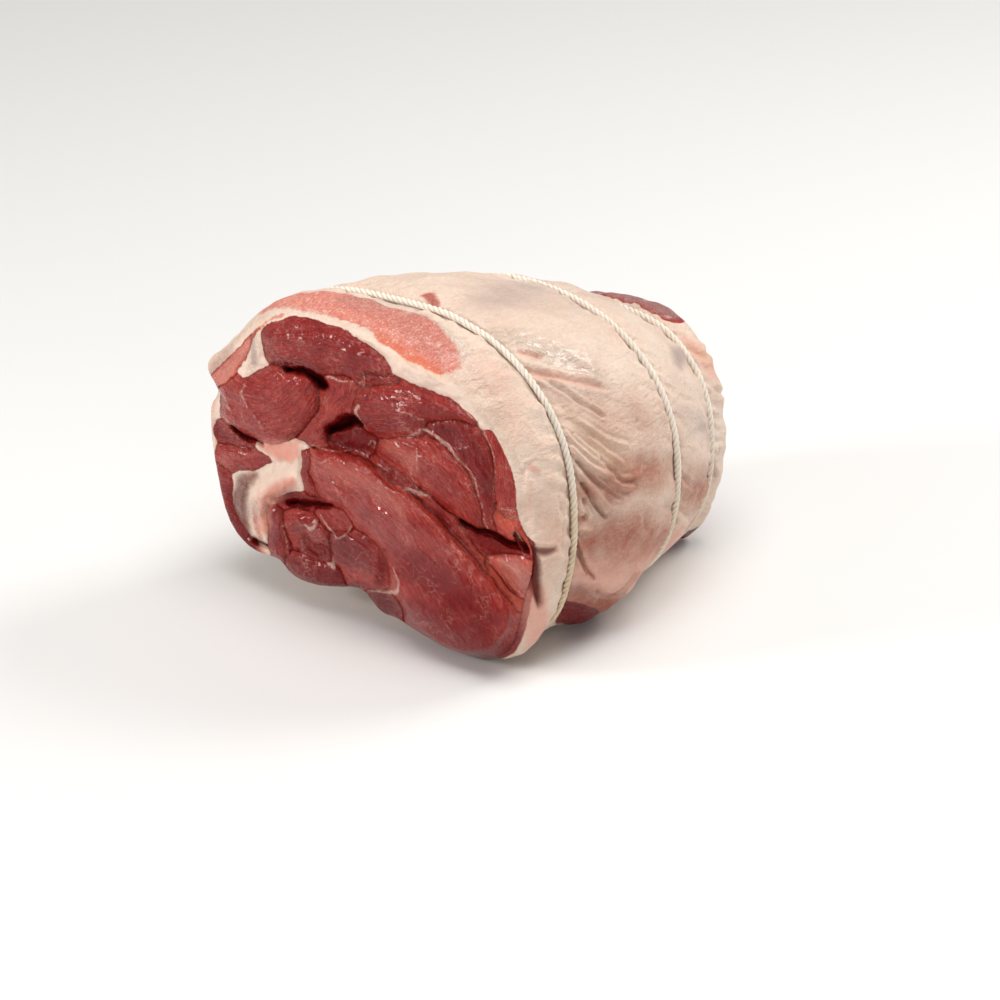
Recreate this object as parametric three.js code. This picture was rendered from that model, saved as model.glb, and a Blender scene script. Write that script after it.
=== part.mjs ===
// A raw boneless lamb shoulder, boned out, rolled and tied with three loops of butcher's twine.
// Millimetres, +Z up. The roll lies along Y: the cut face looks along -Y, the shank end along +Y.
// The shape is worked out in a form frame with y = 0 at the first loop, x across, and z up from
// what the roll rests on. The finished group then moves so that its origin is the bottom centre
// of its box.
import * as THREE from "three";

// ---------------------------------------------------------------- driving sizes

const CUT_Y = -25; // the cut face's rim, in front of the first loop
const CUT_SKEW = 0.06; // the cut runs a little out of square: mm along Y for each mm across
const CUT_DOME = 4; // how far the middle of the cut stands out
const END_Y = 112; // where the shank end starts to round over
const END_DOME = 9;

const TWINE_RADIUS = 1.3;
const TWINE_GAP = 0.45; // clear air between the twine and the meat
const TWINE_BITE = 2.2; // how deep the twine pulls the meat in
const TWINE_REACH = 2.6; // half-width of the valley that it makes
const TWINE_FLOOR = 3.4; // the meat under a loop stands this far off what it rests on
const LOOPS = { twine_front: -1, twine_middle: 57, twine_back: 98 };
const BULGE = 0.02; // how far the meat swells between two loops, for each mm between them

// Cross-sections of the roll. Each quarter of the outline is a superellipse with its own power.
const QUARTERS = ["topRight", "topLeft", "underLeft", "underRight"];
const SECTION_SIZES = ["y", "left", "right", "bottom", "top", ...QUARTERS];
const SECTIONS = [
  [-26, -88, 57, 2, 120.5, 2.0, 2.2, 2.0, 2.6],
  [-12, -87, 62, 1, 124, 2.1, 2.3, 2.1, 2.6],
  [0, -85, 64, 0, 125, 2.2, 2.2, 2.2, 2.5],
  [28, -78, 67, -1, 121.5, 2.2, 2.2, 2.4, 2.9],
  [58, -66, 65.5, -1, 114.5, 2.2, 2.2, 2.4, 2.4],
  [78, -57, 59, -1, 105.5, 2.2, 2.2, 2.4, 2.3],
  [98, -50, 49.5, 0, 96.5, 2.3, 2.1, 2.3, 2.4],
  [112, -44, 45.5, 1, 91, 2.4, 2.1, 2.2, 2.3],
  [122, -38, 41, 3, 86.5, 2.4, 2.1, 2.2, 2.3],
].map((row) => Object.fromEntries(SECTION_SIZES.map((name, i) => [name, row[i]])));

// Swellings and hollows on the outside: place along the roll and round it in degrees from +X,
// their half-widths, and how far they push the surface out.
const SWELLINGS = [
  { name: "lower right muscle, slumped", y: -20, angle: -42, reachY: 15, reachAngle: 12, height: 12 },
  { name: "hollow under the cut", y: -28, angle: -93, reachY: 18, reachAngle: 15, height: -13 },
  { name: "fat hanging into the hollow", y: -25, angle: -82, reachY: 6, reachAngle: 4, height: 4 },
  { name: "lower left corner of the cut", y: -24, angle: -147, reachY: 16, reachAngle: 10, height: 6.2 },
  { name: "nick beside that corner", y: -27, angle: -132, reachY: 8, reachAngle: 3.5, height: -4.5 },
  { name: "upper left shoulder of the cover", y: -12, angle: 134, reachY: 14, reachAngle: 17, height: 3.5 },
  { name: "tip of the fat cover", y: -28, angle: 161.5, reachY: 8, reachAngle: 5.5, height: 6.5 },
  { name: "notch under the tip", y: -28, angle: 167, reachY: 6, reachAngle: 2.5, height: -8.5 },
  { name: "flat on the upper right of the cut", y: -27, angle: 72, reachY: 8, reachAngle: 12, height: -2 },
  { name: "tuck over the side flap", y: -27, angle: 3, reachY: 7, reachAngle: 5, height: -3.5 },
  { name: "side flap", y: -26, angle: -10, reachY: 12, reachAngle: 7, height: 4 },
  { name: "dip over the first loop", y: -4, angle: 106, reachY: 5, reachAngle: 20, height: -3.5 },
  { name: "dip over the last loop", y: 94, angle: 88, reachY: 5, reachAngle: 22, height: -4.5 },
  { name: "belly between the first two loops", y: 26, angle: -43, reachY: 16, reachAngle: 14, height: 4 },
  { name: "muscle over the shank end", y: 112, angle: 60, reachY: 8, reachAngle: 18, height: 2.5 },
  { name: "lower corner of the shank end", y: 108, angle: -54, reachY: 8, reachAngle: 11, height: 6 },
];

// The outer layer laps over itself along the lower left side, which leaves a groove.
const LAP = { angle: -128, wander: 5, reachAngle: 4.5, depth: 2.6, from: -14, to: 104, fade: 10 };

// Muscles on the cut face. Each is a chain of rounds [across, up, radius]; lift brings it forward.
const MUSCLES = [
  { name: "eye", lift: 0, rounds: [[-55, 106, 7.5], [-38, 108.5, 9.5], [-20, 108.5, 8.5], [-6, 107.5, 3]] },
  { name: "left round", lift: 1.5, rounds: [[-68, 79, 11], [-55, 80, 13.5], [-43, 81, 13]] },
  { name: "slanting", lift: -0.5, rounds: [[-21, 95, 7], [-27, 85, 6.5], [-38, 73, 5]] },
  { name: "upper right", lift: 0.8, rounds: [[-8, 90, 9], [8, 94, 10.5], [25, 96, 5.5], [33, 96, 3]] },
  { name: "fan", lift: 0.6, rounds: [[-4, 76, 4], [10, 74, 9], [22, 71, 12]] },
  { name: "fan top", lift: 0.3, rounds: [[24, 91, 5], [37, 82, 6.5], [40, 67, 5]] },
  { name: "rim strip", lift: -1, rounds: [[44, 90, 4], [49, 80, 4.5], [48, 66, 5], [52, 58, 3.5]] },
  { name: "main", lift: 3, rounds: [[-33, 57, 9], [-10, 50, 11], [10, 42, 15], [25, 28, 19], [44, 20, 13]] },
  { name: "thin strip", lift: -1, rounds: [[-6, 67, 2.5], [8, 65, 2.5], [20, 60, 3.5], [42, 44, 3.5]] },
  { name: "wedge", lift: -2.5, rounds: [[46, 46, 4], [54, 42, 6.5], [58, 36, 4]] },
  { name: "outer band", lift: -2, rounds: [[-72, 60, 7], [-80, 50, 6], [-82, 36, 4.5], [-66, 17, 3]] },
  { name: "fat lobe", lift: 1.5, rounds: [[-46, 58, 4], [-56, 48, 6], [-64, 40, 4.5], [-62, 28, 3]] },
  { name: "membrane", lift: -4, rounds: [[-72, 44, 4], [-72, 32, 4.5], [-66, 24, 3.5]] },
  { name: "lower left", lift: 0, rounds: [[-45, 33, 9], [-36, 26, 8], [-50, 20, 6]] },
  { name: "lower middle", lift: -0.5, rounds: [[-20, 30, 9], [-12, 26, 7], [-25, 19, 5]] },
  { name: "deep", lift: -4, rounds: [[-24, 73, 4.5], [-13, 74, 5]] },
];
const CUT_CROWN = 2.6; // how far a muscle swells out between its seams

// Openings between the muscles: chains of rounds, and how deep they go.
const GAPS = [
  { name: "under the eye", depth: 4.5, rounds: [[-56, 96.5, 0.8], [-35, 97.5, 1.6], [-32, 95.5, 2.2]] },
  { name: "centre", depth: 5.5, rounds: [[-30, 76, 1.2], [-25, 81, 2.4], [-18, 83, 1.8]] },
  { name: "right fold", depth: 5.5, rounds: [[30, 57, 1.2], [38, 53, 2.5], [47, 51.5, 3.2], [56, 54, 1.2]] },
  { name: "behind the side flap", depth: 5, rounds: [[61, 54, 1], [62, 46, 1.6], [63, 30, 0.8]] },
  { name: "left fold", depth: 4, rounds: [[-77, 65, 0.8], [-70, 62.5, 1.4], [-62, 62.5, 1]] },
  { name: "lower left fold", depth: 3.5, rounds: [[-57, 43, 1.2], [-45, 43, 2], [-36, 46, 1.2]] },
  { name: "under the fan", depth: 2, rounds: [[-12, 69, 0.6], [15, 58, 0.8], [28, 47, 0.9], [52, 31, 0.6]] },
  { name: "small hollow", depth: 3, rounds: [[-6, 32, 2], [-5, 27, 2.5], [-9, 22, 1.5]] },
];

// Muscles that close over each other on the shank end.
const END_MUSCLES = [
  { name: "upper wrap", lift: 1, rounds: [[-32, 40, 9], [-30, 62, 9], [-12, 76, 9], [10, 78, 8]] },
  { name: "core", lift: 3, rounds: [[-10, 50, 10], [4, 57, 10]] },
  { name: "right wrap", lift: 0, rounds: [[25, 70, 7], [32, 56, 8], [31, 36, 9]] },
  { name: "lower wrap", lift: 1.5, rounds: [[-22, 21, 9], [-5, 27, 8], [12, 22, 10]] },
  { name: "slip", lift: -1, rounds: [[12, 41, 5], [20, 46, 4]] },
];
const END_CROWN = 3.5;

const SEAM_REACH = 2.8; // how far from a seam a muscle has risen by two thirds
const LIFT_BLEND = 2.6; // how softly one muscle's lift passes into the next
const FAT_FADE = 5; // the lift dies out this far into the fat round the muscles
const GAP_SLOPE = 3.6; // how far a gap's walls lean back
// The cut runs obliquely through the muscles, so that what stands out of it leans right and up.
const LEAN = new THREE.Vector3(0.8, -1, 0.55);

// How fine the faceted solid is.
const CUT_RINGS = 28;
const RIM_SHARE = 0.985; // the outermost ring of the cut, as a share of its outline
const GIRTH_STEPS = 76;
const END_RINGS = 11;
const LOOP_STEPS = 84;
const TWINE_SIDES = 6;
const BESIDE_LOOPS = [-4.6, -2.2, 0, 2.2, 4.6]; // stations by each loop
const OPEN_STATIONS = [-21.5, -16, -10, 10, 16, 23, 30, 37, 44, 67, 74, 81, 88, 107];

// ---------------------------------------------------------------- the outside of the roll

const bell = (distance, reach) => Math.exp(-0.5 * (distance / reach) ** 2);
const smooth = (t) => THREE.MathUtils.smoothstep(t, 0, 1);
const halfTurn = (a) => ((((a + 180) % 360) + 360) % 360) - 180; // an angle from -180 to 180 degrees

// One size of the cross-section at y: a Hermite curve through the sections.
function sizeAt(name, y) {
  const last = SECTIONS.length - 1;
  if (y <= SECTIONS[0].y) return SECTIONS[0][name];
  if (y >= SECTIONS[last].y) return SECTIONS[last][name];
  const i = SECTIONS.findIndex((s) => s.y > y) - 1;
  const slope = (j) => {
    const a = SECTIONS[Math.max(j - 1, 0)];
    const b = SECTIONS[Math.min(j + 1, last)];
    return (b[name] - a[name]) / (b.y - a.y);
  };
  const a = SECTIONS[i];
  const b = SECTIONS[i + 1];
  const span = b.y - a.y;
  const t = (y - a.y) / span;
  return (
    a[name] * (2 * t ** 3 - 3 * t ** 2 + 1) +
    b[name] * (3 * t ** 2 - 2 * t ** 3) +
    span * (slope(i) * (t ** 3 - 2 * t ** 2 + t) + slope(i + 1) * (t ** 3 - t ** 2))
  );
}

// The middle of the cross-section at y.
function middle(y) {
  return {
    x: (sizeAt("left", y) + sizeAt("right", y)) / 2,
    z: (sizeAt("bottom", y) + sizeAt("top", y)) / 2,
  };
}

// 1 on a loop's line, falling to 0 on each side of it.
function loopPull(y) {
  return Math.max(...Object.values(LOOPS).map((at) => bell(y - at, TWINE_REACH)));
}

// The bulge of the meat between two loops, in millimetres.
function loopBulge(y) {
  const held = [CUT_Y, ...Object.values(LOOPS), END_Y];
  for (let i = 0; i + 1 < held.length; i++) {
    const span = held[i + 1] - held[i];
    const share = (y - held[i]) / span;
    if (share >= 0 && share <= 1) return BULGE * span * Math.sin(Math.PI * share);
  }
  return 0;
}

// How far the swellings push the surface out at y and an angle in degrees.
function swelling(y, degrees) {
  return SWELLINGS.reduce(
    (sum, s) => sum + s.height * bell(y - s.y, s.reachY) * bell(halfTurn(degrees - s.angle), s.reachAngle),
    0,
  );
}

// How far the lap's groove goes in at y and an angle in degrees.
function lapGroove(y, degrees) {
  const line = LAP.angle + LAP.wander * Math.sin(y / 19);
  const along = smooth((y - LAP.from) / LAP.fade) * smooth((LAP.to - y) / LAP.fade);
  return LAP.depth * along * bell(halfTurn(degrees - line), LAP.reachAngle);
}

// The name of the quarter of a cross-section that the direction (c, s) points into.
function quarter(c, s) {
  const [topRight, topLeft, underLeft, underRight] = QUARTERS;
  if (s >= 0) return c >= 0 ? topRight : topLeft;
  return c >= 0 ? underRight : underLeft;
}

// A point of the outside surface, at y along the roll and an angle round it.
function outside(y, angle) {
  const c = Math.cos(angle);
  const s = Math.sin(angle);
  const power = sizeAt(quarter(c, s), y);
  const across = (sizeAt("right", y) - sizeAt("left", y)) / 2;
  const upward = (sizeAt("top", y) - sizeAt("bottom", y)) / 2;
  const plain = (Math.abs(c / across) ** power + Math.abs(s / upward) ** power) ** (-1 / power);
  const pull = loopPull(y);
  const degrees = THREE.MathUtils.radToDeg(angle);
  const radius = plain + swelling(y, degrees) + loopBulge(y) - lapGroove(y, degrees) - TWINE_BITE * pull;
  const m = middle(y);
  return new THREE.Vector3(m.x + radius * c, y, Math.max(m.z + radius * s, TWINE_FLOOR * pull));
}

// ---------------------------------------------------------------- muscles and gaps

// Signed distance from (x, z) to a chain of rounds: below zero inside it.
function chainDistance(rounds, x, z) {
  let best = Infinity;
  for (let i = 0; i + 1 < rounds.length; i++) {
    const [ax, az, ar] = rounds[i];
    const [bx, bz, br] = rounds[i + 1];
    const along = ((x - ax) * (bx - ax) + (z - az) * (bz - az)) / ((bx - ax) ** 2 + (bz - az) ** 2);
    const t = THREE.MathUtils.clamp(along, 0, 1);
    const off = Math.hypot(x - ax - t * (bx - ax), z - az - t * (bz - az));
    best = Math.min(best, off - ar - t * (br - ar));
  }
  return best;
}

// How far the muscles stand out at (x, z): each has its own lift and swells between its seams.
function muscleRelief(muscles, crown, x, z) {
  const far = muscles.map((m) => chainDistance(m.rounds, x, z));
  const [nearest, second] = [...far].sort((a, b) => a - b);
  const share = far.map((d) => Math.exp(-(d - nearest) / LIFT_BLEND));
  const total = share.reduce((sum, w) => sum + w, 0);
  const lift = muscles.reduce((sum, m, i) => sum + m.lift * share[i], 0) / total;
  const inside = Math.max(0, Math.min((second - nearest) / 2, -nearest));
  return lift * smooth(1 - nearest / FAT_FADE) + crown * (1 - Math.exp(-inside / SEAM_REACH));
}

// How far the gaps go in at (x, z).
function gapDepth(x, z) {
  return GAPS.reduce((sum, g) => sum + g.depth * smooth(1 - chainDistance(g.rounds, x, z) / GAP_SLOPE), 0);
}

// ---------------------------------------------------------------- the two ends

// A point of the cut face: share is 0 at its middle and 1 at its outline.
function cutFace(share, angle) {
  const rim = outside(CUT_Y, angle);
  const m = middle(CUT_Y);
  const x = THREE.MathUtils.lerp(m.x, rim.x, share);
  const z = THREE.MathUtils.lerp(m.z, rim.z, share);
  const clearOfRim = smooth((1 - share) * 12);
  const out = CUT_DOME * (1 - share ** 4) + clearOfRim * muscleRelief(MUSCLES, CUT_CROWN, x, z);
  const inward = clearOfRim * gapDepth(x, z);
  return new THREE.Vector3(x, CUT_Y + CUT_SKEW * x + inward, z).addScaledVector(LEAN, out);
}

// A point of the rounded shank end.
function shankEnd(share, angle) {
  const rim = outside(END_Y, angle);
  const m = middle(END_Y);
  const x = THREE.MathUtils.lerp(m.x, rim.x, share);
  const z = THREE.MathUtils.lerp(m.z, rim.z, share);
  const clearOfRim = smooth((1 - share) * 6);
  const dome = END_DOME * Math.sqrt(Math.max(0, 1 - share ** 2));
  const relief = clearOfRim * (muscleRelief(END_MUSCLES, END_CROWN, x, z) - END_CROWN);
  return new THREE.Vector3(x, END_Y + dome + relief, z);
}

// ---------------------------------------------------------------- the meat's surface

// Joins two rings of points, which run the same way from the same angle, with a band of triangles.
// A ring of one point is the tip of a fan, and has no side of its own.
function stitch(faces, a, b) {
  let i = 0;
  let j = 0;
  while (i < a.length || j < b.length) {
    if (j >= b.length || (i < a.length && (i + 1) / a.length <= (j + 1) / b.length)) {
      if (a.length > 1) faces.push(a[i % a.length], b[j % b.length], a[(i + 1) % a.length]);
      i++;
    } else {
      if (b.length > 1) faces.push(a[i % a.length], b[j % b.length], b[(j + 1) % b.length]);
      j++;
    }
  }
}

// The places along the roll that carry a ring of points: close together beside each loop.
function stations() {
  const besideLoops = Object.values(LOOPS).flatMap((at) => BESIDE_LOOPS.map((d) => at + d));
  return [...besideLoops, ...OPEN_STATIONS].sort((a, b) => a - b);
}

// A point of the side. Ahead of the first loop it follows the skew of the cut.
function side(y, angle) {
  const squareFrom = LOOPS.twine_front + BESIDE_LOOPS[0];
  const point = outside(y, angle);
  point.y += CUT_SKEW * point.x * smooth((squareFrom - y) / (squareFrom - CUT_Y));
  return point;
}

function meatGeometry() {
  const points = [];
  const ring = (count, place) =>
    Array.from({ length: count }, (_, i) => points.push(place((2 * Math.PI * i) / count)) - 1);
  const rings = [ring(1, () => cutFace(0, 0))];
  for (let k = 1; k <= CUT_RINGS; k++) {
    rings.push(ring(6 * k, (a) => cutFace((RIM_SHARE * k) / CUT_RINGS, a)));
  }
  for (const y of stations()) {
    rings.push(ring(GIRTH_STEPS, (a) => side(y, a)));
  }
  for (let k = END_RINGS; k > 0; k--) {
    const count = Math.max(6, Math.round((GIRTH_STEPS * k) / END_RINGS));
    rings.push(ring(count, (a) => shankEnd(k / END_RINGS, a)));
  }
  rings.push(ring(1, () => shankEnd(0, 0)));
  const faces = [];
  for (let i = 0; i + 1 < rings.length; i++) stitch(faces, rings[i], rings[i + 1]);
  const geometry = new THREE.BufferGeometry().setFromPoints(points);
  geometry.setIndex(faces);
  return geometry;
}

// ---------------------------------------------------------------- the twine

// A closed loop that lies on the meat at y, clear of it by the twine's radius and the gap.
class LoopPath extends THREE.Curve {
  constructor(y) {
    super();
    this.y = y;
  }

  getPoint(t, target = new THREE.Vector3()) {
    const angle = 2 * Math.PI * t;
    const step = 0.02;
    const at = outside(this.y, angle);
    const along = outside(this.y, angle + step).sub(outside(this.y, angle - step)).normalize();
    const clear = TWINE_RADIUS + TWINE_GAP;
    return target.set(at.x + along.z * clear, this.y, at.z - along.x * clear);
  }
}

function twineGeometry(y) {
  return new THREE.TubeGeometry(new LoopPath(y), LOOP_STEPS, TWINE_RADIUS, TWINE_SIDES, true);
}

// ---------------------------------------------------------------- the whole

const group = new THREE.Group();
const meatMaterial = new THREE.MeshStandardMaterial({ color: 0xb0473f, roughness: 0.45, metalness: 0 });
const twineMaterial = new THREE.MeshStandardMaterial({ color: 0xe6dccb, roughness: 0.9, metalness: 0 });

const meat = new THREE.Mesh(meatGeometry(), meatMaterial);
meat.name = "meat";
group.add(meat);
for (const [name, y] of Object.entries(LOOPS)) {
  const twine = new THREE.Mesh(twineGeometry(y), twineMaterial);
  twine.name = name;
  group.add(twine);
}

const box = new THREE.Box3().setFromObject(group);
const centre = box.getCenter(new THREE.Vector3());
for (const piece of group.children) piece.geometry.translate(-centre.x, -centre.y, -box.min.z);

export default group;
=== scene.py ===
"""Looks of a raw boneless lamb shoulder, rolled and tied with three loops of twine.

Measures are in the roll's own millimetres: x across the cut face, y along the roll from the first
loop, z up from what the roll rests on. An angle on the outside of the roll is counted in degrees
from +x over the top.
"""

import logging
import math
from dataclasses import dataclass, field
from enum import Enum

import bmesh
import bpy
import numpy as np
from mathutils import Matrix, Vector


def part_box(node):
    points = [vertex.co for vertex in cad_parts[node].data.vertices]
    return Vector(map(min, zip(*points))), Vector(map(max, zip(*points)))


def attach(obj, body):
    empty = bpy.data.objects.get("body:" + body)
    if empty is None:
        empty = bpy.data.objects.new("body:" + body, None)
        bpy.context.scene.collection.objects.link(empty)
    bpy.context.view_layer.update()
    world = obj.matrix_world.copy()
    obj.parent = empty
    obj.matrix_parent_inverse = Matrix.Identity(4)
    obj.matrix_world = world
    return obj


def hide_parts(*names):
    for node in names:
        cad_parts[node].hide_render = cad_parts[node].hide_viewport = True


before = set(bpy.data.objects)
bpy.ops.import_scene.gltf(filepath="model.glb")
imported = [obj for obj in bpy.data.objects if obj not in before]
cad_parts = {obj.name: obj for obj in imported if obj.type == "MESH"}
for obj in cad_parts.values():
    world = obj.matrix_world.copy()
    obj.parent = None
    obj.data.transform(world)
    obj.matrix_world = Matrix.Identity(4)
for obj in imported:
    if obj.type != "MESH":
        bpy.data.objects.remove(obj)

LOG = logging.getLogger("lamb_shoulder")
LOOP_NODES = ("twine_front", "twine_middle", "twine_back")
MM_PER_DEGREE = 1.1  # along the outside of the roll
FLESH_REACH = 6.0  # how far from a border its distance is kept, in mm
WHITE_REACH = 4.0  # the same for the white seams
FAR_AWAY = 99.0
FRONT_STAIN = 0.9  # the first loop lies in the wet and is yellower than the others
OTHER_STAIN = 0.3


# ---------------------------------------------------------------- small helpers


def paint(red: float, green: float, blue: float) -> tuple[float, float, float, float]:
    """Turns a colour as a screen shows it into the linear one that a shader takes.

    Args:
        red: Red, 0 to 255.
        green: Green, 0 to 255.
        blue: Blue, 0 to 255.

    Returns:
        The linear colour with full alpha.
    """
    shares = [value / 255 for value in (red, green, blue)]
    linear = [s / 12.92 if s <= 0.04045 else ((s + 0.055) / 1.055) ** 2.4 for s in shares]
    return (*linear, 1.0)


def smooth(share: np.ndarray) -> np.ndarray:
    """Eases a share from 0 to 1 with level ends."""
    kept = np.clip(share, 0, 1)
    return kept * kept * (3 - 2 * kept)


def bell(distance: np.ndarray, reach: float) -> np.ndarray:
    """A smooth bump of height 1 that dies out over a few times its reach."""
    return np.exp(-0.5 * (distance / reach) ** 2)


def chain_distance(u: np.ndarray, v: np.ndarray, chain: tuple) -> np.ndarray:
    """Signed distance to a chain of rounds, negative inside.

    Args:
        u: First coordinate of each point.
        v: Second coordinate of each point.
        chain: Rounds as (u, v, radius); neighbours are joined by tapering bands.

    Returns:
        The distance of each point from the chain's outline.
    """
    best = np.full(u.shape, np.inf)
    for (au, av, ar), (bu, bv, br) in zip(chain, chain[1:]):
        span = (bu - au) ** 2 + (bv - av) ** 2
        share = np.clip(((u - au) * (bu - au) + (v - av) * (bv - av)) / span, 0, 1)
        off = np.hypot(u - au - share * (bu - au), v - av - share * (bv - av))
        best = np.minimum(best, off - ar - share * (br - ar))
    return best


def rounded(chain: tuple, steps: int = 3) -> tuple:
    """Adds rounds to a chain, laid on a smooth line through the given ones.

    Args:
        chain: The given rounds.
        steps: How many rounds each stretch between two of them becomes.

    Returns:
        The longer chain.
    """
    rows = np.array([chain[0], *chain, chain[-1]], dtype=float)
    found = []
    for before, start, end, after in zip(rows, rows[1:], rows[2:], rows[3:]):
        for t in np.arange(steps) / steps:
            bend = (2 * before - 5 * start + 4 * end - after) * t ** 2
            bend += (3 * start - before - 3 * end + after) * t ** 3
            found.append(tuple(start + ((end - before) * t + bend) / 2))
    return (*found, tuple(rows[-1]))


def ripple(points: np.ndarray, wavelength: float, seed: int, waves: int = 9) -> np.ndarray:
    """A smooth uneven field, about -1 to 1, made of waves in seeded directions.

    Args:
        points: Rows of coordinates.
        wavelength: Typical distance from one crest to the next.
        seed: Picks the directions and phases.
        waves: How many waves are added up.

    Returns:
        The field's value at each row.
    """
    dice = np.random.default_rng(seed)
    total = np.zeros(len(points))
    for _ in range(waves):
        way = dice.normal(size=points.shape[1])
        way *= math.tau / wavelength * dice.uniform(0.6, 1.5) / np.linalg.norm(way)
        total += np.sin(points @ way + dice.uniform(0, math.tau))
    return total / math.sqrt(waves)


# ---------------------------------------------------------------- where things are


@dataclass(frozen=True)
class Place:
    """Where the roll's own millimetres lie in the frame.

    Attributes:
        corner: The frame's point, in millimetres, at which the roll's own coordinates are zero.
    """

    corner: np.ndarray

    @classmethod
    def from_first_loop(cls, across: float = -10.551, along: float = -1.0) -> "Place":
        """Finds the place from the first loop.

        Args:
            across: The x of the loop's middle, in the roll's own millimetres.
            along: Its y.

        Returns:
            The place.
        """
        low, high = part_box(LOOP_NODES[0])
        middle = np.array((low + high) / 2) * 1000
        return cls(np.array([middle[0] - across, middle[1] - along, 0.0]))

    def to_roll(self, metres: np.ndarray) -> np.ndarray:
        """Turns points of the frame, in metres, into the roll's own millimetres."""
        return np.asarray(metres) * 1000 - self.corner

    def to_frame(self, millimetres: np.ndarray) -> np.ndarray:
        """Turns points in the roll's own millimetres into the frame's metres."""
        return (np.asarray(millimetres) + self.corner) / 1000


@dataclass
class Axis:
    """The line along the middle of the roll, from which angles and radii are counted."""

    along: tuple[float, ...] = (-30, -25, -1, 57, 98, 112)
    across: tuple[float, ...] = (-16, -15.2, -10.6, -0.4, -0.2, 0.5)
    height: tuple[float, ...] = (61, 61.2, 62.6, 58, 47.3, 46.5)

    def middle(self, y: np.ndarray) -> tuple[np.ndarray, np.ndarray]:
        """The axis's x and z at each y."""
        return np.interp(y, self.along, self.across), np.interp(y, self.along, self.height)

    def polar(self, points: np.ndarray) -> tuple[np.ndarray, np.ndarray]:
        """The radius and the angle in degrees of each point about the axis."""
        x, z = self.middle(points[:, 1])
        side, up = points[:, 0] - x, points[:, 2] - z
        return np.hypot(side, up), np.degrees(np.arctan2(up, side))

    def outward(self, points: np.ndarray) -> np.ndarray:
        """The direction from the axis to each point, as unit rows."""
        x, z = self.middle(points[:, 1])
        way = np.stack([points[:, 0] - x, np.zeros(len(points)), points[:, 2] - z], 1)
        return way / np.maximum(np.linalg.norm(way, axis=1, keepdims=True), 1e-6)


@dataclass
class LoopLine:
    """The centreline of one loop of twine, read from its solid.

    Attributes:
        name: The node that the loop's solid is in.
        place: Where the roll lies in the frame.
        axis: The roll's middle line.
        steps: How many points the line is averaged to.
        points: Rows of the centreline in the roll's own millimetres.
        radii: The line's distance from the axis at each step.
        angles: The line's angle at each step.
    """

    name: str
    place: Place
    axis: Axis
    steps: int = 84
    points: np.ndarray = field(init=False)
    radii: np.ndarray = field(init=False)
    angles: np.ndarray = field(init=False)

    def __post_init__(self) -> None:
        """Averages the solid's vertices over each step of angle."""
        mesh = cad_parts[self.name].data
        solid = self.place.to_roll(np.array([v.co for v in mesh.vertices]))
        _, angle = self.axis.polar(solid)
        slot = np.floor((angle + 180) / 360 * self.steps).astype(int) % self.steps
        rows = [solid[slot == step].mean(0) for step in range(self.steps) if (slot == step).any()]
        line = np.array(rows)
        for _ in range(2):
            line = (np.roll(line, 1, 0) + 2 * line + np.roll(line, -1, 0)) / 4
        self.points = line
        self.radii, self.angles = self.axis.polar(line)

    @property
    def along(self) -> float:
        """Where the loop is along the roll."""
        return float(self.points[:, 1].mean())

    def radius_at(self, angle: np.ndarray) -> np.ndarray:
        """The centreline's distance from the axis at each angle in degrees."""
        order = np.argsort(self.angles)
        return np.interp(angle, self.angles[order], self.radii[order], period=360)

    def resampled(self, count: int) -> tuple[np.ndarray, float]:
        """The closed line as evenly spaced points.

        Args:
            count: How many points.

        Returns:
            The points and the line's length in millimetres.
        """
        closed = np.vstack([self.points, self.points[:1]])
        far = np.concatenate([[0], np.cumsum(np.linalg.norm(np.diff(closed, axis=0), axis=1))])
        stops = np.linspace(0, far[-1], count, endpoint=False)
        return np.stack([np.interp(stops, far, closed[:, i]) for i in range(3)], 1), float(far[-1])


# ---------------------------------------------------------------- what shows where


class Area(Enum):
    """A part of the roll's surface, with its own coordinates."""

    CUT = "cut face: x and z in mm"
    SIDE = "outside: y in mm and the angle in degrees"
    SHANK = "shank end: x and z in mm"


class Tint(Enum):
    """Something that changes the finish of the meat from place to place."""

    FLUSH = "flush"
    MAUVE = "mauve"
    # Blood, and painted shade in recesses, folds, creases and low down.
    BLOOD_AND_SHADE = "blood_and_shade"
    AMBER = "amber"
    RAW = "raw"
    WET = "wet"
    # Darker fat, and painted shade on the flanks, low down and in the creases.
    DARKER_FAT_AND_SHADE = "darker_fat_and_shade"


@dataclass(frozen=True)
class Muscle:
    """One muscle or lobe of fat: a chain of rounds that its outline wraps.

    Attributes:
        name: What it is.
        area: Where it shows.
        chain: Rounds in the area's coordinates, each with a radius in mm.
        lift: How far it stands forward of its neighbours, in mm.
        crown: How far it swells between its seams, in mm.
        grain: The direction of its fibres, in degrees.
        bend: How much that direction turns with each mm along the first coordinate.
        tone: From -1, darkest, to 1, palest.
        fat: Whether it is fat or skin, with no red flesh.
    """

    name: str
    area: Area
    chain: tuple
    lift: float = 0.0
    crown: float = 2.4
    grain: float = 0.0
    bend: float = 0.0
    tone: float = 0.0
    fat: bool = False


@dataclass(frozen=True)
class Patch:
    """A place where a tint is stronger, with soft edges.

    Attributes:
        area: Where it is.
        tint: What is stronger there.
        chain: Rounds in the area's coordinates, each with a radius in mm.
        strength: The tint's strength in the middle, 0 to 1.
        soft: Over how many mm it dies out.
    """

    area: Area
    tint: Tint
    chain: tuple
    strength: float = 1.0
    soft: float = 4.0


def patches(area: Area, tint: Tint, *rows: tuple) -> tuple[Patch, ...]:
    """Patches of one tint in one area, from rows of a chain, a strength and a softness."""
    return tuple(Patch(area, tint, *row) for row in rows)


@dataclass(frozen=True)
class Gap:
    """An opening between muscles.

    Attributes:
        name: Where it is.
        chain: Rounds of (x, z, radius).
        depth: How deep it goes, in mm.
        slope: How far its walls lean back, in mm.
    """

    name: str
    chain: tuple
    depth: float
    slope: float = 2.4


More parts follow.
